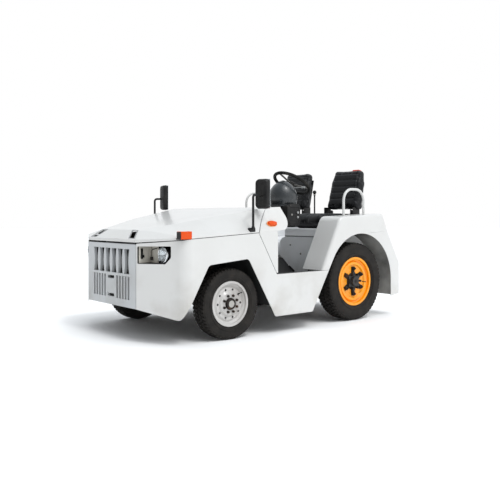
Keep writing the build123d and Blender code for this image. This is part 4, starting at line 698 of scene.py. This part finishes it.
def makePocketWall():
    (back, front), y, (low, high) = pocketWall["x"], pocketWall["y"], pocketWall["z"]
    liner = block("pocketLiner", (back, y, low), (front, y + 0.0025, high), 0.0008)
    press(liner, lambda c, n: n.y > 0.99, (0.010, 0), (0.003, 0.001))
    pairOf(liner, "pocket_liner", "chassis", "beigePrimer")
    bracket = block("harnessBracket", (1.488, y + 0.002, 0.690), (1.500, y + 0.020, 0.775), 0.002)
    plug = block("harnessPlug", (1.470, y + 0.002, 0.700), (1.490, y + 0.014, 0.722), 0.002)
    harness = joinAll([bracket, plug], "harnessBracket")
    pairOf(harness, "harness_bracket", "chassis", "blackRubber")


makePocketWall()


# corner lamps: a dark tray under the lens, and a dark end cap

cornerLamp = {"low": (1.266, 0.779, 0.852), "high": (1.384, 0.8395, 0.866)}


def makeCornerLamp():
    tray = block("cornerTray", cornerLamp["low"], cornerLamp["high"], 0.004, 3)
    press(tray, topFace, (0.003, -0.001))
    x = cornerLamp["high"][0]
    cap = block("cornerCap", (x - 0.012, 0.785, 0.862), (x - 0.001, 0.8405, 0.9165), 0.004, 3)
    press(cap, frontFace, (0.006, -0.0015))
    finishPiece(joinAll([tray, cap], "corner_lamp_tray"), "grainedBlackPlastic", "hood")


def keepLeftCornerLamp():
    # the photograph shows no lamp beyond the far corner, so the right one is left out here
    lens = copyTo(nodes["corner_lamps"], Matrix.Identity(4), "corner_lamp_lens")
    editMesh(lens, action="SELECT")
    bpy.ops.mesh.remove_doubles(threshold=0.00002)
    pickFaces(lens, lambda c, n: c.y < 0)
    bpy.ops.mesh.delete(type="FACE")
    doneEditing()
    finishPiece(lens, "amberLens", "hood", 30)
    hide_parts("corner_lamps")


makeCornerLamp()
keepLeftCornerLamp()


# side repeaters: an oval bezel on the slope of the cowl

repeater = {
    "at": (0.385, 0.8085, 0.9729), "normal": (0, 0.885, 0.466), "half": (0.061, 0.0295),
    "section": [(-0.002, 0.90), (0.0035, 0.90), (0.0055, 0.93), (0.004, 0.99), (-0.002, 1.0)],
}


def makeRepeaterBezel():
    ring = turned("repeaterBezel", repeater["section"], origin, upward, 40, True)
    taper(ring, lambda c, n: True, (*repeater["half"], 1))
    normal = Vector(repeater["normal"]).normalized()
    across = Vector(ahead)
    ring.data.transform(Matrix.Translation(repeater["at"])
                        @ alongAxes(across, normal.cross(across).normalized(), normal))
    pairOf(ring, "repeater_bezel", "chassis", "paleOrangeBezel")


makeRepeaterBezel()


# tail lamps: a black tray round each lens and two dividing ribs

tailLamp = {"y": 0.470, "z": 0.4795, "half": (0.075, 0.0375), "border": 0.004,
            "tray": (-1.4345, -1.426), "rib": (-1.4638, -1.4600)}


def makeTailTray():
    y, z, border = tailLamp["y"], tailLamp["z"], tailLamp["border"]
    halfY, halfZ = tailLamp["half"]
    (trayBack, trayFront), (ribBack, ribFront) = tailLamp["tray"], tailLamp["rib"]
    tray = block("tailTray", (trayBack, y - halfY - border, z - halfZ - border),
                 (trayFront, y + halfY + border, z + halfZ + border), 0.002, 3)
    press(tray, lambda c, n: n.x < -0.99, (0.002, -0.0005))
    parts = [tray]
    for middle in (y - 0.33 * halfY, y + 0.33 * halfY):
        parts.append(block("tailRib", (ribBack, middle - 0.0015, z - halfZ + 0.006),
                           (ribFront, middle + 0.0015, z + halfZ - 0.006), 0.0006))
    pairOf(joinAll(parts, "tailTray"), "tail_lamp_tray", "chassis", "grainedBlackPlastic")


makeTailTray()


# hood hinges: a pale pressed frame round each slanted pocket of the nose

hingeFrame = {
    "back": (0.006, 0.088), "opening": (0.010, 0.085), "half": 0.035, "border": 0.017, "thick": 0.0015,
    # local x runs back up the nose slope while the pocket slants toward the middle
    "lie": ((-1, 0, 0, 1.535), (-0.9333, 1, 0, 0.3443), (0.8427, 0, 1, 0.848), (0, 0, 0, 1)),
}


def makeHingeFrame():
    inner = hingeFrame["half"]
    outer = inner + hingeFrame["border"]
    (back, front), (openBack, openFront) = hingeFrame["back"], hingeFrame["opening"]
    rim = block("hingeFrame", (back, -outer, 0), (front, outer, hingeFrame["thick"]), 0.0004, 1)
    cutter = block("hingeCutter", (openBack, -inner, -0.01), (openFront, inner, 0.01), 0.0004, 1)
    applyModifier(rim, "BOOLEAN", operation="DIFFERENCE", object=cutter)
    bpy.data.objects.remove(cutter)
    rim.data.transform(Matrix(hingeFrame["lie"]))
    pairOf(rim, "hinge_frame", "hood", "hingeGrey", 20)


makeHingeFrame()
print("stage: lamps and hinge frames")


# mirrors: clamp foot, bent tube, ribbed housing turned to the driver, glass with a rubber edge

doorMirror = {
    "stem": {"left": (0.640, 0.851), "right": (0.565, 0.838)}, "foot": 0.925, "arm": 1.222, "tube": 0.0105,
    "head": (0.480, 0.790, 1.236), "toDriver": (-0.970, -0.243, 0),
    "width": 0.150, "height": 0.280, "depth": 0.050,
    "collar": [(0, 0), (0, 0.015), (0.012, 0.015), (0.015, 0.0125), (0.020, 0.0125), (0.020, 0)],
}


def mirrorShell(width, height, depth):
    # crowned box, thin at its rim, ribbed on the back; local z points away from the driver
    shell = cube("mirrorShell", (width, height, depth), (0, 0, depth / 2))
    taper(shell, topFace, (0.80, 0.88, 1))
    bevelAll(shell, 0.030, 6, 80)
    bevelAll(shell, 0.004)
    press(shell, topFace, (0.009, -0.002), (0.003, 0.0015))
    press(shell, lambda c, n: n.z < -0.99, (0.006, 0), (0.0015, -0.003))
    parts = [shell]
    for x in (-0.25 * width, 0.0, 0.25 * width):
        parts.append(block("mirrorRib", (x - 0.002, -height * 0.34, depth - 0.003),
                           (x + 0.002, height * 0.34, depth + 0.0005), 0.0008))
    return joinAll(parts, "mirrorShell")


def makeMirror(side):
    spec = doorMirror
    x, y = spec["stem"][side]
    foot, arm, head = spec["foot"], spec["arm"], Vector(spec["head"])
    bend = [(x, y - 0.024, foot), (x, y, foot), (x, y, arm), (head.x + 0.012, head.y + 0.010, arm)]
    tube = bentRod("mirrorTube", bend, spec["tube"], 0.034, 4)
    clamp = block("mirrorClamp", (x - 0.034, y - 0.044, foot - 0.020), (x + 0.026, y - 0.006, foot + 0.014),
                  0.005, 3)
    editMesh(clamp)
    pickFaces(clamp, lambda c, n: n.y > 0.99 or n.z > 0.99)
    bpy.ops.mesh.inset(thickness=0.006, depth=0.0015, use_individual=True)
    doneEditing()
    collar = turned("mirrorCollar", spec["collar"], (x, y, foot + 0.010), upward, 20)
    width, height, depth = spec["width"], spec["height"], spec["depth"]
    shell = mirrorShell(width, height, depth)
    # glass, slightly domed, inside the rubber edge
    acrossHalf, upHalf = width / 2 - 0.009, height / 2 - 0.009
    glass = block("mirrorGlass", (-acrossHalf, -upHalf, -0.0005), (acrossHalf, upHalf, 0.0025), 0.0005)
    press(glass, lambda c, n: n.z < -0.99, (0.012, 0.0006))
    bevelAll(glass, 0.022, 5, 80)
    back = -Vector(spec["toDriver"]).normalized()
    turn = alongAxes(Vector(upward).cross(back).normalized(), Vector(upward), back)
    for piece in (shell, glass):
        settle(piece)
        piece.data.transform(Matrix.Translation(head - back * depth / 2) @ turn)
    housing = joinAll([shell, tube, clamp, collar], "mirrorHousing")
    for piece, name, look, slotName, nodeName in (
            (housing, "mirror_housing_", "grainedBlackPlastic", "black_plastic", "mirrors"),
            (glass, "mirror_pane_", "silveredMirror", "mirror_glass", "mirror_glasses")):
        if side == "right":
            twin = copyTo(piece, mirrorY, name + side)
            bpy.data.objects.remove(piece)
            piece = twin
        finishPiece(piece, look, "hood")
        piece.name = name + side
        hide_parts(nodeName)


makeMirror("left")
makeMirror("right")
print("stage: mirrors")


# steering wheel: padded rim with finger grips, three pressed spokes, a boss with a blank button

steering = {
    "center": (-0.269, 0.385, 1.369), "axis": (-0.52992, 0, 0.84805), "rim": 0.184, "grip": 0.0165,
    "spokes": (90, 210, 330), "spokeWidth": 0.030, "fingers": 36, "fingerDepth": 0.14,
    "boss": [(-0.021, 0), (-0.021, 0.029), (-0.006, 0.034), (0.004, 0.033), (0.010, 0.026), (0.0105, 0.024),
             (0.0085, 0.022), (0.0095, 0.018), (0.014, 0.010), (0.015, 0)],
}


def makeSteeringWheel():
    spec = steering
    deselectAll()
    bpy.ops.mesh.primitive_torus_add(major_radius=spec["rim"], minor_radius=spec["grip"], major_segments=144,
                                     minor_segments=16)
    rim = current("steering_rim")
    for vertex in rim.data.vertices:  # finger grips pressed into the underside
        angle = math.atan2(vertex.co.y, vertex.co.x)
        under = max(0.0, -vertex.co.z / spec["grip"])
        ring = Vector((math.cos(angle), math.sin(angle), 0)) * spec["rim"]
        dent = spec["fingerDepth"] * under * (0.5 + 0.5 * math.cos(angle * spec["fingers"]))
        vertex.co = ring + (vertex.co - ring) * (1 - dent)
    spokes = []
    halfWidth = spec["spokeWidth"] / 2
    for angle in spec["spokes"]:
        spoke = block("wheelSpoke", (0.020, -halfWidth, -0.012), (spec["rim"] - 0.006, halfWidth, -0.006),
                      0.0025, 3)
        press(spoke, topFace, (0.007, -0.002))
        shift(spoke, frontFace, (0, 0, 0.006))
        spoke.data.transform(Matrix.Rotation(math.radians(angle), 4, "Z"))
        spokes.append(spoke)
    boss = turned("steering_boss", spec["boss"], origin, upward, 40)
    for piece, look, slotName in (
            (rim, "blackRubber", "black_plastic"), (joinAll(spokes, "steering_spokes"), "wornSteel", "steel"),
            (boss, "grainedBlackPlastic", "black_plastic")):
        piece.data.transform(facing(spec["center"], spec["axis"]))
        finishPiece(piece, look, "steering_wheel", 30)
        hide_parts("steering_wheel")


makeSteeringWheel()


# column cowl with a grey signal stalk on the left, and a blank gauge on the pod's rear

stalk = {
    "from": (-0.235, 0.405, 1.318), "to": (-0.250, 0.590, 1.322), "radius": 0.0055,
    "cowl": [(0.028, 0), (0.028, 0.032), (0.034, 0.040), (0.090, 0.044), (0.104, 0.036), (0.104, 0)],
    "gaugeAt": (-0.262, 0.385, 1.235), "gaugeAxis": (-0.97, 0, 0.24),
    "gauge": [(0, 0), (0, 0.036), (0.006, 0.036), (0.008, 0.034), (0.008, 0.031), (0.004, 0.030), (0.004, 0)],
    "glass": [(0.0045, 0), (0.0045, 0.030), (0.0062, 0.030), (0.0072, 0.018), (0.0075, 0)],
}


def makeStalk():
    spec = stalk
    start, end = Vector(spec["from"]), Vector(spec["to"])
    reach, r = (end - start).length, spec["radius"]
    section = [(0, 0), (0, r * 1.5), (0.012, r * 1.6), (0.018, r), (reach * 0.7, r * 0.9),
               (reach * 0.74, r * 1.5), (reach - 0.006, r * 1.7), (reach, r * 1.1), (reach, 0)]
    lever = turned("stalkLever", section, start, end - start, 20)
    finishPiece(lever, "greyStalkPlastic", "chassis")
    cowl = turned("columnCowl", spec["cowl"], steering["center"], -Vector(steering["axis"]), 28)
    press(cowl, lambda c, n: n.y > 0.95, (0.002, -0.001))
    finishPiece(cowl, "grainedBlackPlastic", "chassis")
    dial = turned("podGauge", spec["gauge"], spec["gaugeAt"], spec["gaugeAxis"], 36)
    finishPiece(dial, "grainedBlackPlastic", "chassis")
    pane = turned("podGaugeGlass", spec["glass"], spec["gaugeAt"], spec["gaugeAxis"], 36)
    finishPiece(pane, "clearLampGlass", "chassis")


makeStalk()


# switch housing under the pod, on the driver's left of the column, with two knobs and a key barrel

switchBox = {
    "low": (-0.235, 0.300, 0.962), "high": (-0.050, 0.552, 1.146),
    "knobs": ((-0.190, 1.075), (-0.190, 1.030)), "key": (-0.115, 1.055),
    "knob": [(0, 0), (0, 0.007), (0.010, 0.007), (0.012, 0.011), (0.022, 0.012), (0.025, 0.009), (0.025, 0)],
    "barrel": [(0, 0), (0, 0.012), (0.006, 0.012), (0.009, 0.009), (0.009, 0.003), (0.006, 0.002),
               (0.006, 0)],
}


def makeSwitchBox():
    spec = switchBox
    housing = block("switch_housing", spec["low"], spec["high"], 0.018, 4)
    middle = (spec["low"][0] + spec["high"][0]) / 2
    taper(housing, lambda c, n: n.z < -0.9, (0.72, 0.80, 1))
    press(housing, lambda c, n: n.y > 0.95 and abs(c.x - middle) < 0.02, (0.010, 0), (0.003, -0.003))
    finishPiece(housing, "grainedBlackPlastic", "chassis")
    face = spec["high"][1]
    knobs = [turned("switchKnob", spec["knob"], (x, face - 0.018, z), leftward, 20) for x, z in spec["knobs"]]
    finishPiece(joinAll(knobs, "switch_knobs"), "greyStalkPlastic", "chassis")
    x, z = spec["key"]
    barrel = turned("key_barrel", spec["barrel"], (x, face - 0.012, z), leftward, 24)
    finishPiece(barrel, "zincBolt", "chassis")


makeSwitchBox()
print("stage: steering")


# seats: crowned pads under a vinyl cover, swelled by cloth pressure, then sewn channels

seatPads = {
    "seat_cushion": {"lean": 0.0, "swell": 0.012, "channels": (0.25, 0.5, 0.75), "channelDepth": 0.008,
                     "grow": (0.000, 0.000, 0.004), "shift": 0.0, "shrinkTop": (0.93, 0.94), "edge": 0.036,
                     "border": 0.78},
    "seat_back": {"lean": 12.0, "swell": 0.014, "channels": (0.26, 0.41, 0.56, 0.71, 0.86),
                  "channelDepth": 0.009, "grow": (0.034, 0.052, 0.056), "shift": 0.020,
                  "shrinkTop": (0.84, 0.86), "edge": 0.044, "border": 0.74},
}
clothFrames = 20


def swellPad(pad, limit):
    # air pressure rounds the cover; no point moves further than the limit
    rest = [vertex.co.copy() for vertex in pad.data.vertices]
    cloth = pad.modifiers.new("cloth", "CLOTH")
    cloth.settings.use_pressure = True
    cloth.settings.uniform_pressure_force = 4
    cloth.settings.effector_weights.gravity = 0
    cloth.settings.quality = 4
    for number in range(1, clothFrames + 1):
        bpy.context.scene.frame_set(number)
    bpy.ops.object.modifier_apply(modifier=cloth.name)
    bpy.context.scene.frame_set(1)
    for vertex, start in zip(pad.data.vertices, rest):
        move = vertex.co - start
        if move.length > limit:
            vertex.co = start + move.normalized() * limit


def sewSeams(pad, center, extent, axes, spec):
    # channels across the face, and a border seam at each side
    axisX, axisZ = axes
    leaning = spec["lean"] > 0
    direction = axisX if leaning else axisZ
    length = extent.z if leaning else extent.x
    border = extent.y / 2 * spec["border"]
    for vertex in pad.data.vertices:
        local = vertex.co - center
        u, v, w = local.dot(axisX), local.y, local.dot(axisZ)
        share = (w / extent.z + 0.5) if leaning else (0.5 - u / extent.x)
        face = (u / (extent.x / 2)) if leaning else (w / (extent.z / 2))
        if face <= 0.2:
            continue
        dent = 0.0
        if abs(v) < border:
            for channel in spec["channels"]:
                dent = max(dent, math.exp(-(abs(share - channel) * length / 0.010) ** 2))
        dent = max(dent, 0.9 * math.exp(-((abs(v) - border) / 0.008) ** 2))
        vertex.co -= direction * dent * spec["channelDepth"] * min(1, (face - 0.2) * 3)


def makePad(kind, side):
    spec = seatPads[kind]
    nodeName = f"{kind}_{side}"
    low, high = (Vector(corner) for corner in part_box(nodeName))
    center = (low + high) / 2
    extent = high - low
    lean = math.radians(spec["lean"])
    if lean:
        # true length and depth of the leaning box from its upright outline
        depth = (extent.x * math.cos(lean) - extent.z * math.sin(lean)) / math.cos(2 * lean)
        height = (extent.z * math.cos(lean) - extent.x * math.sin(lean)) / math.cos(2 * lean)
        extent = Vector((depth, extent.y, height))
    extent += Vector(spec["grow"])
    axisX = Vector((math.cos(lean), 0, math.sin(lean)))
    axisZ = Vector((-math.sin(lean), 0, math.cos(lean)))
    center += axisZ * spec["grow"][2] / 2 - axisX * spec["grow"][0] / 2
    center.y += math.copysign(spec["shift"], center.y)
    pad = cube(nodeName + "Cover", extent - Vector((1, 1, 1)) * spec["swell"] * 1.2)
    editMesh(pad, action="SELECT")
    bpy.ops.mesh.subdivide(number_cuts=2)
    pickFaces(pad, lambda c, n: c.z > extent.z * 0.2)
    bpy.ops.transform.resize(value=(1, 0.96, 1))
    pickFaces(pad, lambda c, n: n.z > 0.9)
    bpy.ops.transform.resize(value=(*spec["shrinkTop"], 1))
    doneEditing()
    bevelAll(pad, spec["edge"], 4)
    pad.data.transform(Matrix.Translation(center) @ Matrix.Rotation(-lean, 4, "Y"))
    applyModifier(pad, "REMESH", mode="VOXEL", voxel_size=0.006)
    applyModifier(pad, "SMOOTH", factor=0.6, iterations=10)
    swellPad(pad, spec["swell"])
    sewSeams(pad, center, extent, (axisX, axisZ), spec)
    applyModifier(pad, "SUBSURF", levels=1, render_levels=1)
    bpy.ops.object.shade_smooth()
    dress(pad, "blackSeatVinyl", "chassis")
    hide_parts(nodeName)


for kind in seatPads:
    for side in ("left", "right"):
        makePad(kind, side)
print("stage: seats")


# backrest trim: the shell behind it, and the folded webbing tab at its top

seatTrim = {"lean": 12.0, "foot": (-0.995, 0.362, 1.115), "shell": (0.098, 0.020),
            "tab": (0.068, 0.423, 0.120)}


def makeSeatTrim():
    lean = math.radians(seatTrim["lean"])
    up = Vector((-math.sin(lean), 0, math.cos(lean)))
    back = Vector((-math.cos(lean), 0, -math.sin(lean)))
    foot = Vector(seatTrim["foot"])
    turn = alongAxes(-back, Vector(leftward), up)
    behind, above = seatTrim["shell"]
    shell = block("backShell", (-0.007, -0.185, 0), (0.007, 0.185, 0.345), 0.004, 3)
    press(shell, lambda c, n: n.x < -0.99, (0.030, 0), (0.006, -0.004))
    shell.data.transform(Matrix.Translation(foot + back * behind + up * above) @ turn)
    pairOf(shell, "seat_back_shell", "chassis", "grainedBlackPlastic")
    behind, above, outboard = seatTrim["tab"]
    tab = block("seatTab", (-0.024, -0.045, 0), (0.024, 0.045, 0.020), 0.006, 3)
    press(tab, topFace, (0.006, -0.002))
    place = foot + up * above + back * behind + Vector((0, outboard, 0))
    tab.data.transform(Matrix.Translation(place) @ turn)
    finishPiece(tab, "orangeTabPlastic", "chassis")


makeSeatTrim()


# recliners: a black plate each side of the backrest's foot, with its pivot, lever and runner

recliner = {
    "plates": (0.158, 0.566), "half": 0.005, "runner": (-1.150, -0.965), "pivotAt": (-1.040, 0.985),
    "pivot": [(-0.010, 0), (-0.010, 0.022), (-0.006, 0.026), (0.006, 0.026), (0.010, 0.022), (0.010, 0)],
}


def makeRecliners():
    half, (back, front), (x, z) = recliner["half"], recliner["runner"], recliner["pivotAt"]
    parts = []
    for y in recliner["plates"]:
        plate = block("reclinerPlate", (-1.090, y - half, 0.940), (-0.985, y + half, 1.135), 0.004)
        shift(plate, topFace, (-0.030, 0, 0))
        pivot = turned("reclinerPivot", recliner["pivot"], (x, y, z), leftward, 24)
        runner = block("seatRunner", (back, y - 0.016, 0.9155), (front, y + 0.016, 0.941), 0.003)
        parts += [plate, pivot, runner]
    inner, outer = recliner["plates"]
    reach = outer - inner
    tie = [(0, 0), (0, 0.008), (reach, 0.008), (reach, 0)]
    parts.append(turned("reclinerTie", tie, (x, inner, z), leftward, 14))
    grip = [(x, 0.574, z), (-1.010, 0.580, 1.000), (-0.940, 0.580, 1.010)]
    parts.append(bentRod("reclinerLever", grip, 0.006, 0.015))
    pairOf(joinAll(parts, "recliners"), "seat_recliners", "chassis", "grainedBlackPlastic")


makeRecliners()


# cockpit: lever boot and knob collar, ribbed floor mats, pedal pads

cockpit = {
    "lever": (-0.870, 0.122, 0.929), "collarHeight": 1.266,
    "boot": [(0, 0.036), (0.003, 0.038), (0.010, 0.030), (0.013, 0.034), (0.020, 0.025), (0.023, 0.029),
             (0.030, 0.020), (0.033, 0.024), (0.041, 0.014), (0.046, 0.0125), (0.050, 0.009), (0.050, 0.0082),
             (0, 0.0082)],
    "collar": [(0, 0.0082), (0, 0.013), (0.006, 0.015), (0.012, 0.011), (0.012, 0.0082)],
    "mat": {"x": (-0.420, 0.300), "y": (0.250, 0.690), "z": 0.4555, "rib": 0.030},
    "pedals": {"at": (0.1685, 0.5335), "tilt": 29, "pads": ((0.290, 0.060), (0.480, 0.080)),
               "ribs": (-0.026, -0.013, 0, 0.013, 0.022)},
}


def makeLeverBoot():
    boot = turned("lever_boot", cockpit["boot"], cockpit["lever"], upward, 28, True)
    finishPiece(boot, "blackRubber", "chassis", 50)
    x, y, _ = cockpit["lever"]
    collar = turned("lever_collar", cockpit["collar"], (x, y, cockpit["collarHeight"]), upward, 24, True)
    finishPiece(collar, "wornSteel", "chassis")


def makeMat():
    # ribbed rubber mat on each side of the tunnel, cut off short of the tunnel's foot
    mat = cockpit["mat"]
    (back, front), (inner, outer), z = mat["x"], mat["y"], mat["z"]
    parts = [block("floorMat", (back, inner, z), (front, outer, z + 0.003), 0.001)]
    for index in range(int((outer - inner - 0.03) / mat["rib"])):
        y = inner + 0.02 + index * mat["rib"]
        parts.append(block("matRib", (back + 0.015, y, z + 0.002), (front - 0.015, y + 0.010, z + 0.0065),
                           0.0015, 1))
    pairOf(joinAll(parts, "floorMat"), "floor_mat", "chassis", "blackRubber")


def makePedalPads():
    # each pad lies on the sloped face of the steel pedal, toward the driver
    spec = cockpit["pedals"]
    x, z = spec["at"]
    turn = Matrix.Rotation(math.radians(spec["tilt"]), 4, "Y")
    for index, (y, width) in enumerate(spec["pads"]):
        half = width / 2
        parts = [block("pedalPad", (0, -half - 0.003, -0.034), (0.008, half + 0.003, 0.034), 0.002)]
        parts += [block("padRib", (-0.003, -half + 0.004, low), (0.001, half - 0.004, low + 0.005), 0.001, 1)
                  for low in spec["ribs"]]
        pad = joinAll(parts, f"pedal_pad_{index}")
        pad.data.transform(Matrix.Translation((x, y, z)) @ turn)
        finishPiece(pad, "blackRubber", "chassis")


makeLeverBoot()
makeMat()
makePedalPads()
print("stage: cockpit")


# seat boxes: a lid on each with a turned rim, and below it a dark strip that paints the shadow line seen from
# the side

seatLid = {"x": -0.4465, "y": (0.098, 0.5745), "z": (0.832, 0.915)}


def makeSeatLid():
    x, (inner, outer), (low, high) = seatLid["x"], seatLid["y"], seatLid["z"]
    lid = block("seatLid", (x - 0.0035, inner, low + 0.004), (x, outer, high - 0.003), 0.0012)
    press(lid, frontFace, (0.008, 0), (0.003, -0.0008))
    pairOf(lid, "seat_lid_rim", "chassis", "greyEnamel")
    # a black strip under the lid's rim: painted shadow, not a real part
    paintedShadowStrip = block("lidShadow", (x - 0.003, inner + 0.002, low - 0.003),
                 (x - 0.0006, outer - 0.002, low + 0.004), 0.0004)
    press(paintedShadowStrip, frontFace, (0.0015, -0.0006))
    pairOf(paintedShadowStrip, "seat_lid_painted_shadow", "chassis", "darkPlasticAndPaintedShadow")


makeSeatLid()


# fasteners: radius and height of the head, where each sits, which way it faces, and both sides or one

fasteners = {
    "seat_box_bolts": {"head": (0.0075, 0.006), "look": "wornSteel", "outward": ahead, "both": True,
                       "at": [(-0.4495, 0.180, 0.740), (-0.4495, 0.330, 0.655), (-0.4495, 0.520, 0.740)]},
    "hitch_bolts": {"head": (0.009, 0.008), "look": "zincBolt", "outward": (-1, 0, 0), "both": False,
                    "at": [(-1.4425, y, z) for y in (-0.100, 0.100) for z in (0.300, 0.414, 0.528)]},
    "seat_bracket_bolts": {"head": (0.0065, 0.005), "look": "zincBolt", "outward": upward, "both": True,
                           "at": [(x, y, 0.923) for x in (-1.005, -1.075) for y in (0.190, 0.534)]},
    "lamp_screws": {"head": (0.004, 0.003), "look": "zincBolt", "outward": ahead, "both": True,
                    "at": [(1.402, y, z) for y in (0.448, 0.540) for z in (0.668, 0.780)]},
    "tail_bolts": {"head": (0.007, 0.005), "look": "wornSteel", "outward": (-1, 0, 0), "both": True,
                   "at": [(-1.4265, y, z) for y in (0.20, 0.54) for z in (0.28, 0.56)]},
}


def hexBolt(radius, height):
    # hexagon head with a chamfer on a washer, at the origin, facing up
    section = [(0, 0), (0, radius * 1.35), (height * 0.22, radius * 1.35), (height * 0.26, radius * 1.2),
               (height * 0.26, 0)]
    washer = turned("boltWasher", section, origin, upward, 16)
    head = prism("boltHead", radius, height, (0, 0, height * 0.7))
    press(head, lambda c, n: n.z > 0.9, (radius * 0.16, radius * 0.12), (radius * 0.3, -radius * 0.04))
    return joinAll([head, washer], "hexBolt")


for name, spec in fasteners.items():
    bolt = hexBolt(*spec["head"])
    matrices = [facing(point, spec["outward"]) for point in spec["at"]]
    if spec["both"]:
        matrices += [mirrorY @ matrix for matrix in matrices]
    row = joinAll([copyTo(bolt, matrix, "boltCopy") for matrix in matrices], name)
    bpy.data.objects.remove(bolt)
    finishPiece(row, spec["look"], "chassis", 30)
print("stage: fasteners")


# wheels: the front hub's bright cap, the rear hub's centre nut

hubCap = {
    "front": {"at": (0.839, 0.801, 0.300), "radius": 0.030, "look": "zincBolt", "slot": "steel"},
    "rear": {"at": (-0.761, 0.795, 0.3875), "radius": 0.020, "look": "oilyCastIron", "slot": "cast_grey"},
}
for end, spec in hubCap.items():
    r = spec["radius"]
    dome = [(0, 0), (0, r * 1.15), (0.003, r * 1.15), (0.0035, r), (0.0055, r * 0.9), (0.0065, r * 0.55),
            (0.0060, r * 0.45), (0.0068, r * 0.3), (0.0070, 0)]
    cap = turned("hubCap", dome, spec["at"], leftward, 32)
    pairOf(cap, f"{end}_hub_cap", f"{end}_wheel_SIDE", spec["look"], 30)


# rear hub: six cast lugs that clamp the rim, each with its nut

rearSpider = {"lugs": 6, "inner": 0.050, "reach": 0.146, "width": 0.044, "y": (0.730, 0.766), "nut": 0.019}


def makeSpider():
    spec = rearSpider
    (inside, outside), half, nut = spec["y"], spec["width"] / 2, spec["nut"]
    center = (hubCap["rear"]["at"][0], 0, hubCap["rear"]["at"][2])
    disc = [(inside, 0.03), (inside, 0.092), (inside + 0.018, 0.092), (outside + 0.006, 0.078),
            (outside + 0.010, 0.070), (outside + 0.010, 0.03)]
    stud = [(0, 0), (0, nut), (0.016, nut), (0.022, nut * 0.7), (0.022, nut * 0.45), (0.034, nut * 0.4),
            (0.034, 0)]
    parts = [turned("spiderDisc", disc, center, leftward, 48, True)]
    for index in range(spec["lugs"]):
        lug = block("spiderLug", (-half, inside, spec["inner"]), (half, outside, spec["reach"]), 0.006)
        taper(lug, topFace, (0.72, 0.8, 1))
        bolt = turned("spiderStud", stud, (0, outside - 0.004, spec["reach"] - 0.019), leftward, 12)
        lug = joinAll([lug, bolt], "spiderLug")
        turn = Matrix.Rotation(math.tau * index / spec["lugs"], 4, "Y")
        lug.data.transform(Matrix.Translation(center) @ turn)
        parts.append(lug)
    hub = joinAll(parts, "rearSpider")
    pairOf(hub, "rear_hub_spider", "rear_wheel_SIDE", "oilyCastIron", 30)


makeSpider()
print("stage: hub caps")


# floor, light and camera

studio = {
    "floor": "#ffffff", "floorHeight": -0.0005, "frontGlow": 0.42, "overhead": (0.88, 0.94, 1.0, 1),
    "suns": {"softOverheadLight": (1.05, 50), "keyLight": (0.55, 9)}, "sunlight": (0.04, -0.50, -0.86),
}
white = (1, 1, 1, 1)
deselectAll()
bpy.ops.mesh.primitive_plane_add(size=90, location=(0, 0, studio["floorHeight"]))
floor = current("studioFloor")
floorLook = newMaterial("paleStudioFloor", Base_Color=hexColour(studio["floor"]), Roughness=0.95,
                        Specular_IOR_Level=0.1)[0]
floor.data.materials.append(floorLook)

# soft white room, less bright ahead of the tug, so that the grille lies in half shade
world = bpy.data.worlds.new("studioWorld")
bpy.context.scene.world = world
world.use_nodes = True
worldTree = world.node_tree
around = addNode(worldTree, "TexCoord", "Generated")
forward = addNode(worldTree, "SeparateXYZ", "X", {"Vector": around})
height = addNode(worldTree, "SeparateXYZ", "Z", {"Vector": around})
glow = addNode(worldTree, "MapRange", "Result", {"Value": forward}, From_Min=0.02, From_Max=0.85, To_Min=1.0,
               To_Max=studio["frontGlow"])
# what the camera sees directly is plain white; the light itself is a little cooler from above
seen = addNode(worldTree, "LightPath", "Is Camera Ray")
strength = addNode(worldTree, "Mix", "Result", {"Factor": seen, "A": glow}, data_type="FLOAT", B=1.0)
zenith = addNode(worldTree, "Mix", "Result", {"Factor": height}, data_type="RGBA", A=white,
                 B=studio["overhead"])
tint = addNode(worldTree, "Mix", "Result", {"Factor": seen, "A": zenith}, data_type="RGBA", B=white)
feed(worldTree.nodes["Background"], {"Strength": strength, "Color": tint})

for lightName, (energy, spreadAngle) in studio["suns"].items():
    bpy.ops.object.light_add(type="SUN", location=(-1, 2, 6))
    sun = bpy.context.object
    sun.name = lightName
    sun.data.energy = energy
    sun.data.angle = math.radians(spreadAngle)
    sun.rotation_euler = Vector(studio["sunlight"]).to_track_quat("-Z", "Y").to_euler()

# the photograph's viewpoint, solved from the wheels and the body's edges
cameraPlace = {"at": (4.2799, 5.0842, 1.0394), "turn": 139.734, "lens": 46.95, "shift": (0.0033, -0.0676)}
level = (math.radians(90), 0, math.radians(cameraPlace["turn"]))
bpy.ops.object.camera_add(location=cameraPlace["at"], rotation=level)
camera = bpy.context.object
camera.name = "photoCamera"
camera.data.sensor_width = 36
camera.data.lens = cameraPlace["lens"]
camera.data.shift_x, camera.data.shift_y = cameraPlace["shift"]
bpy.context.scene.camera = camera
bpy.context.scene.view_settings.view_transform = "Standard"
print("stage: studio")
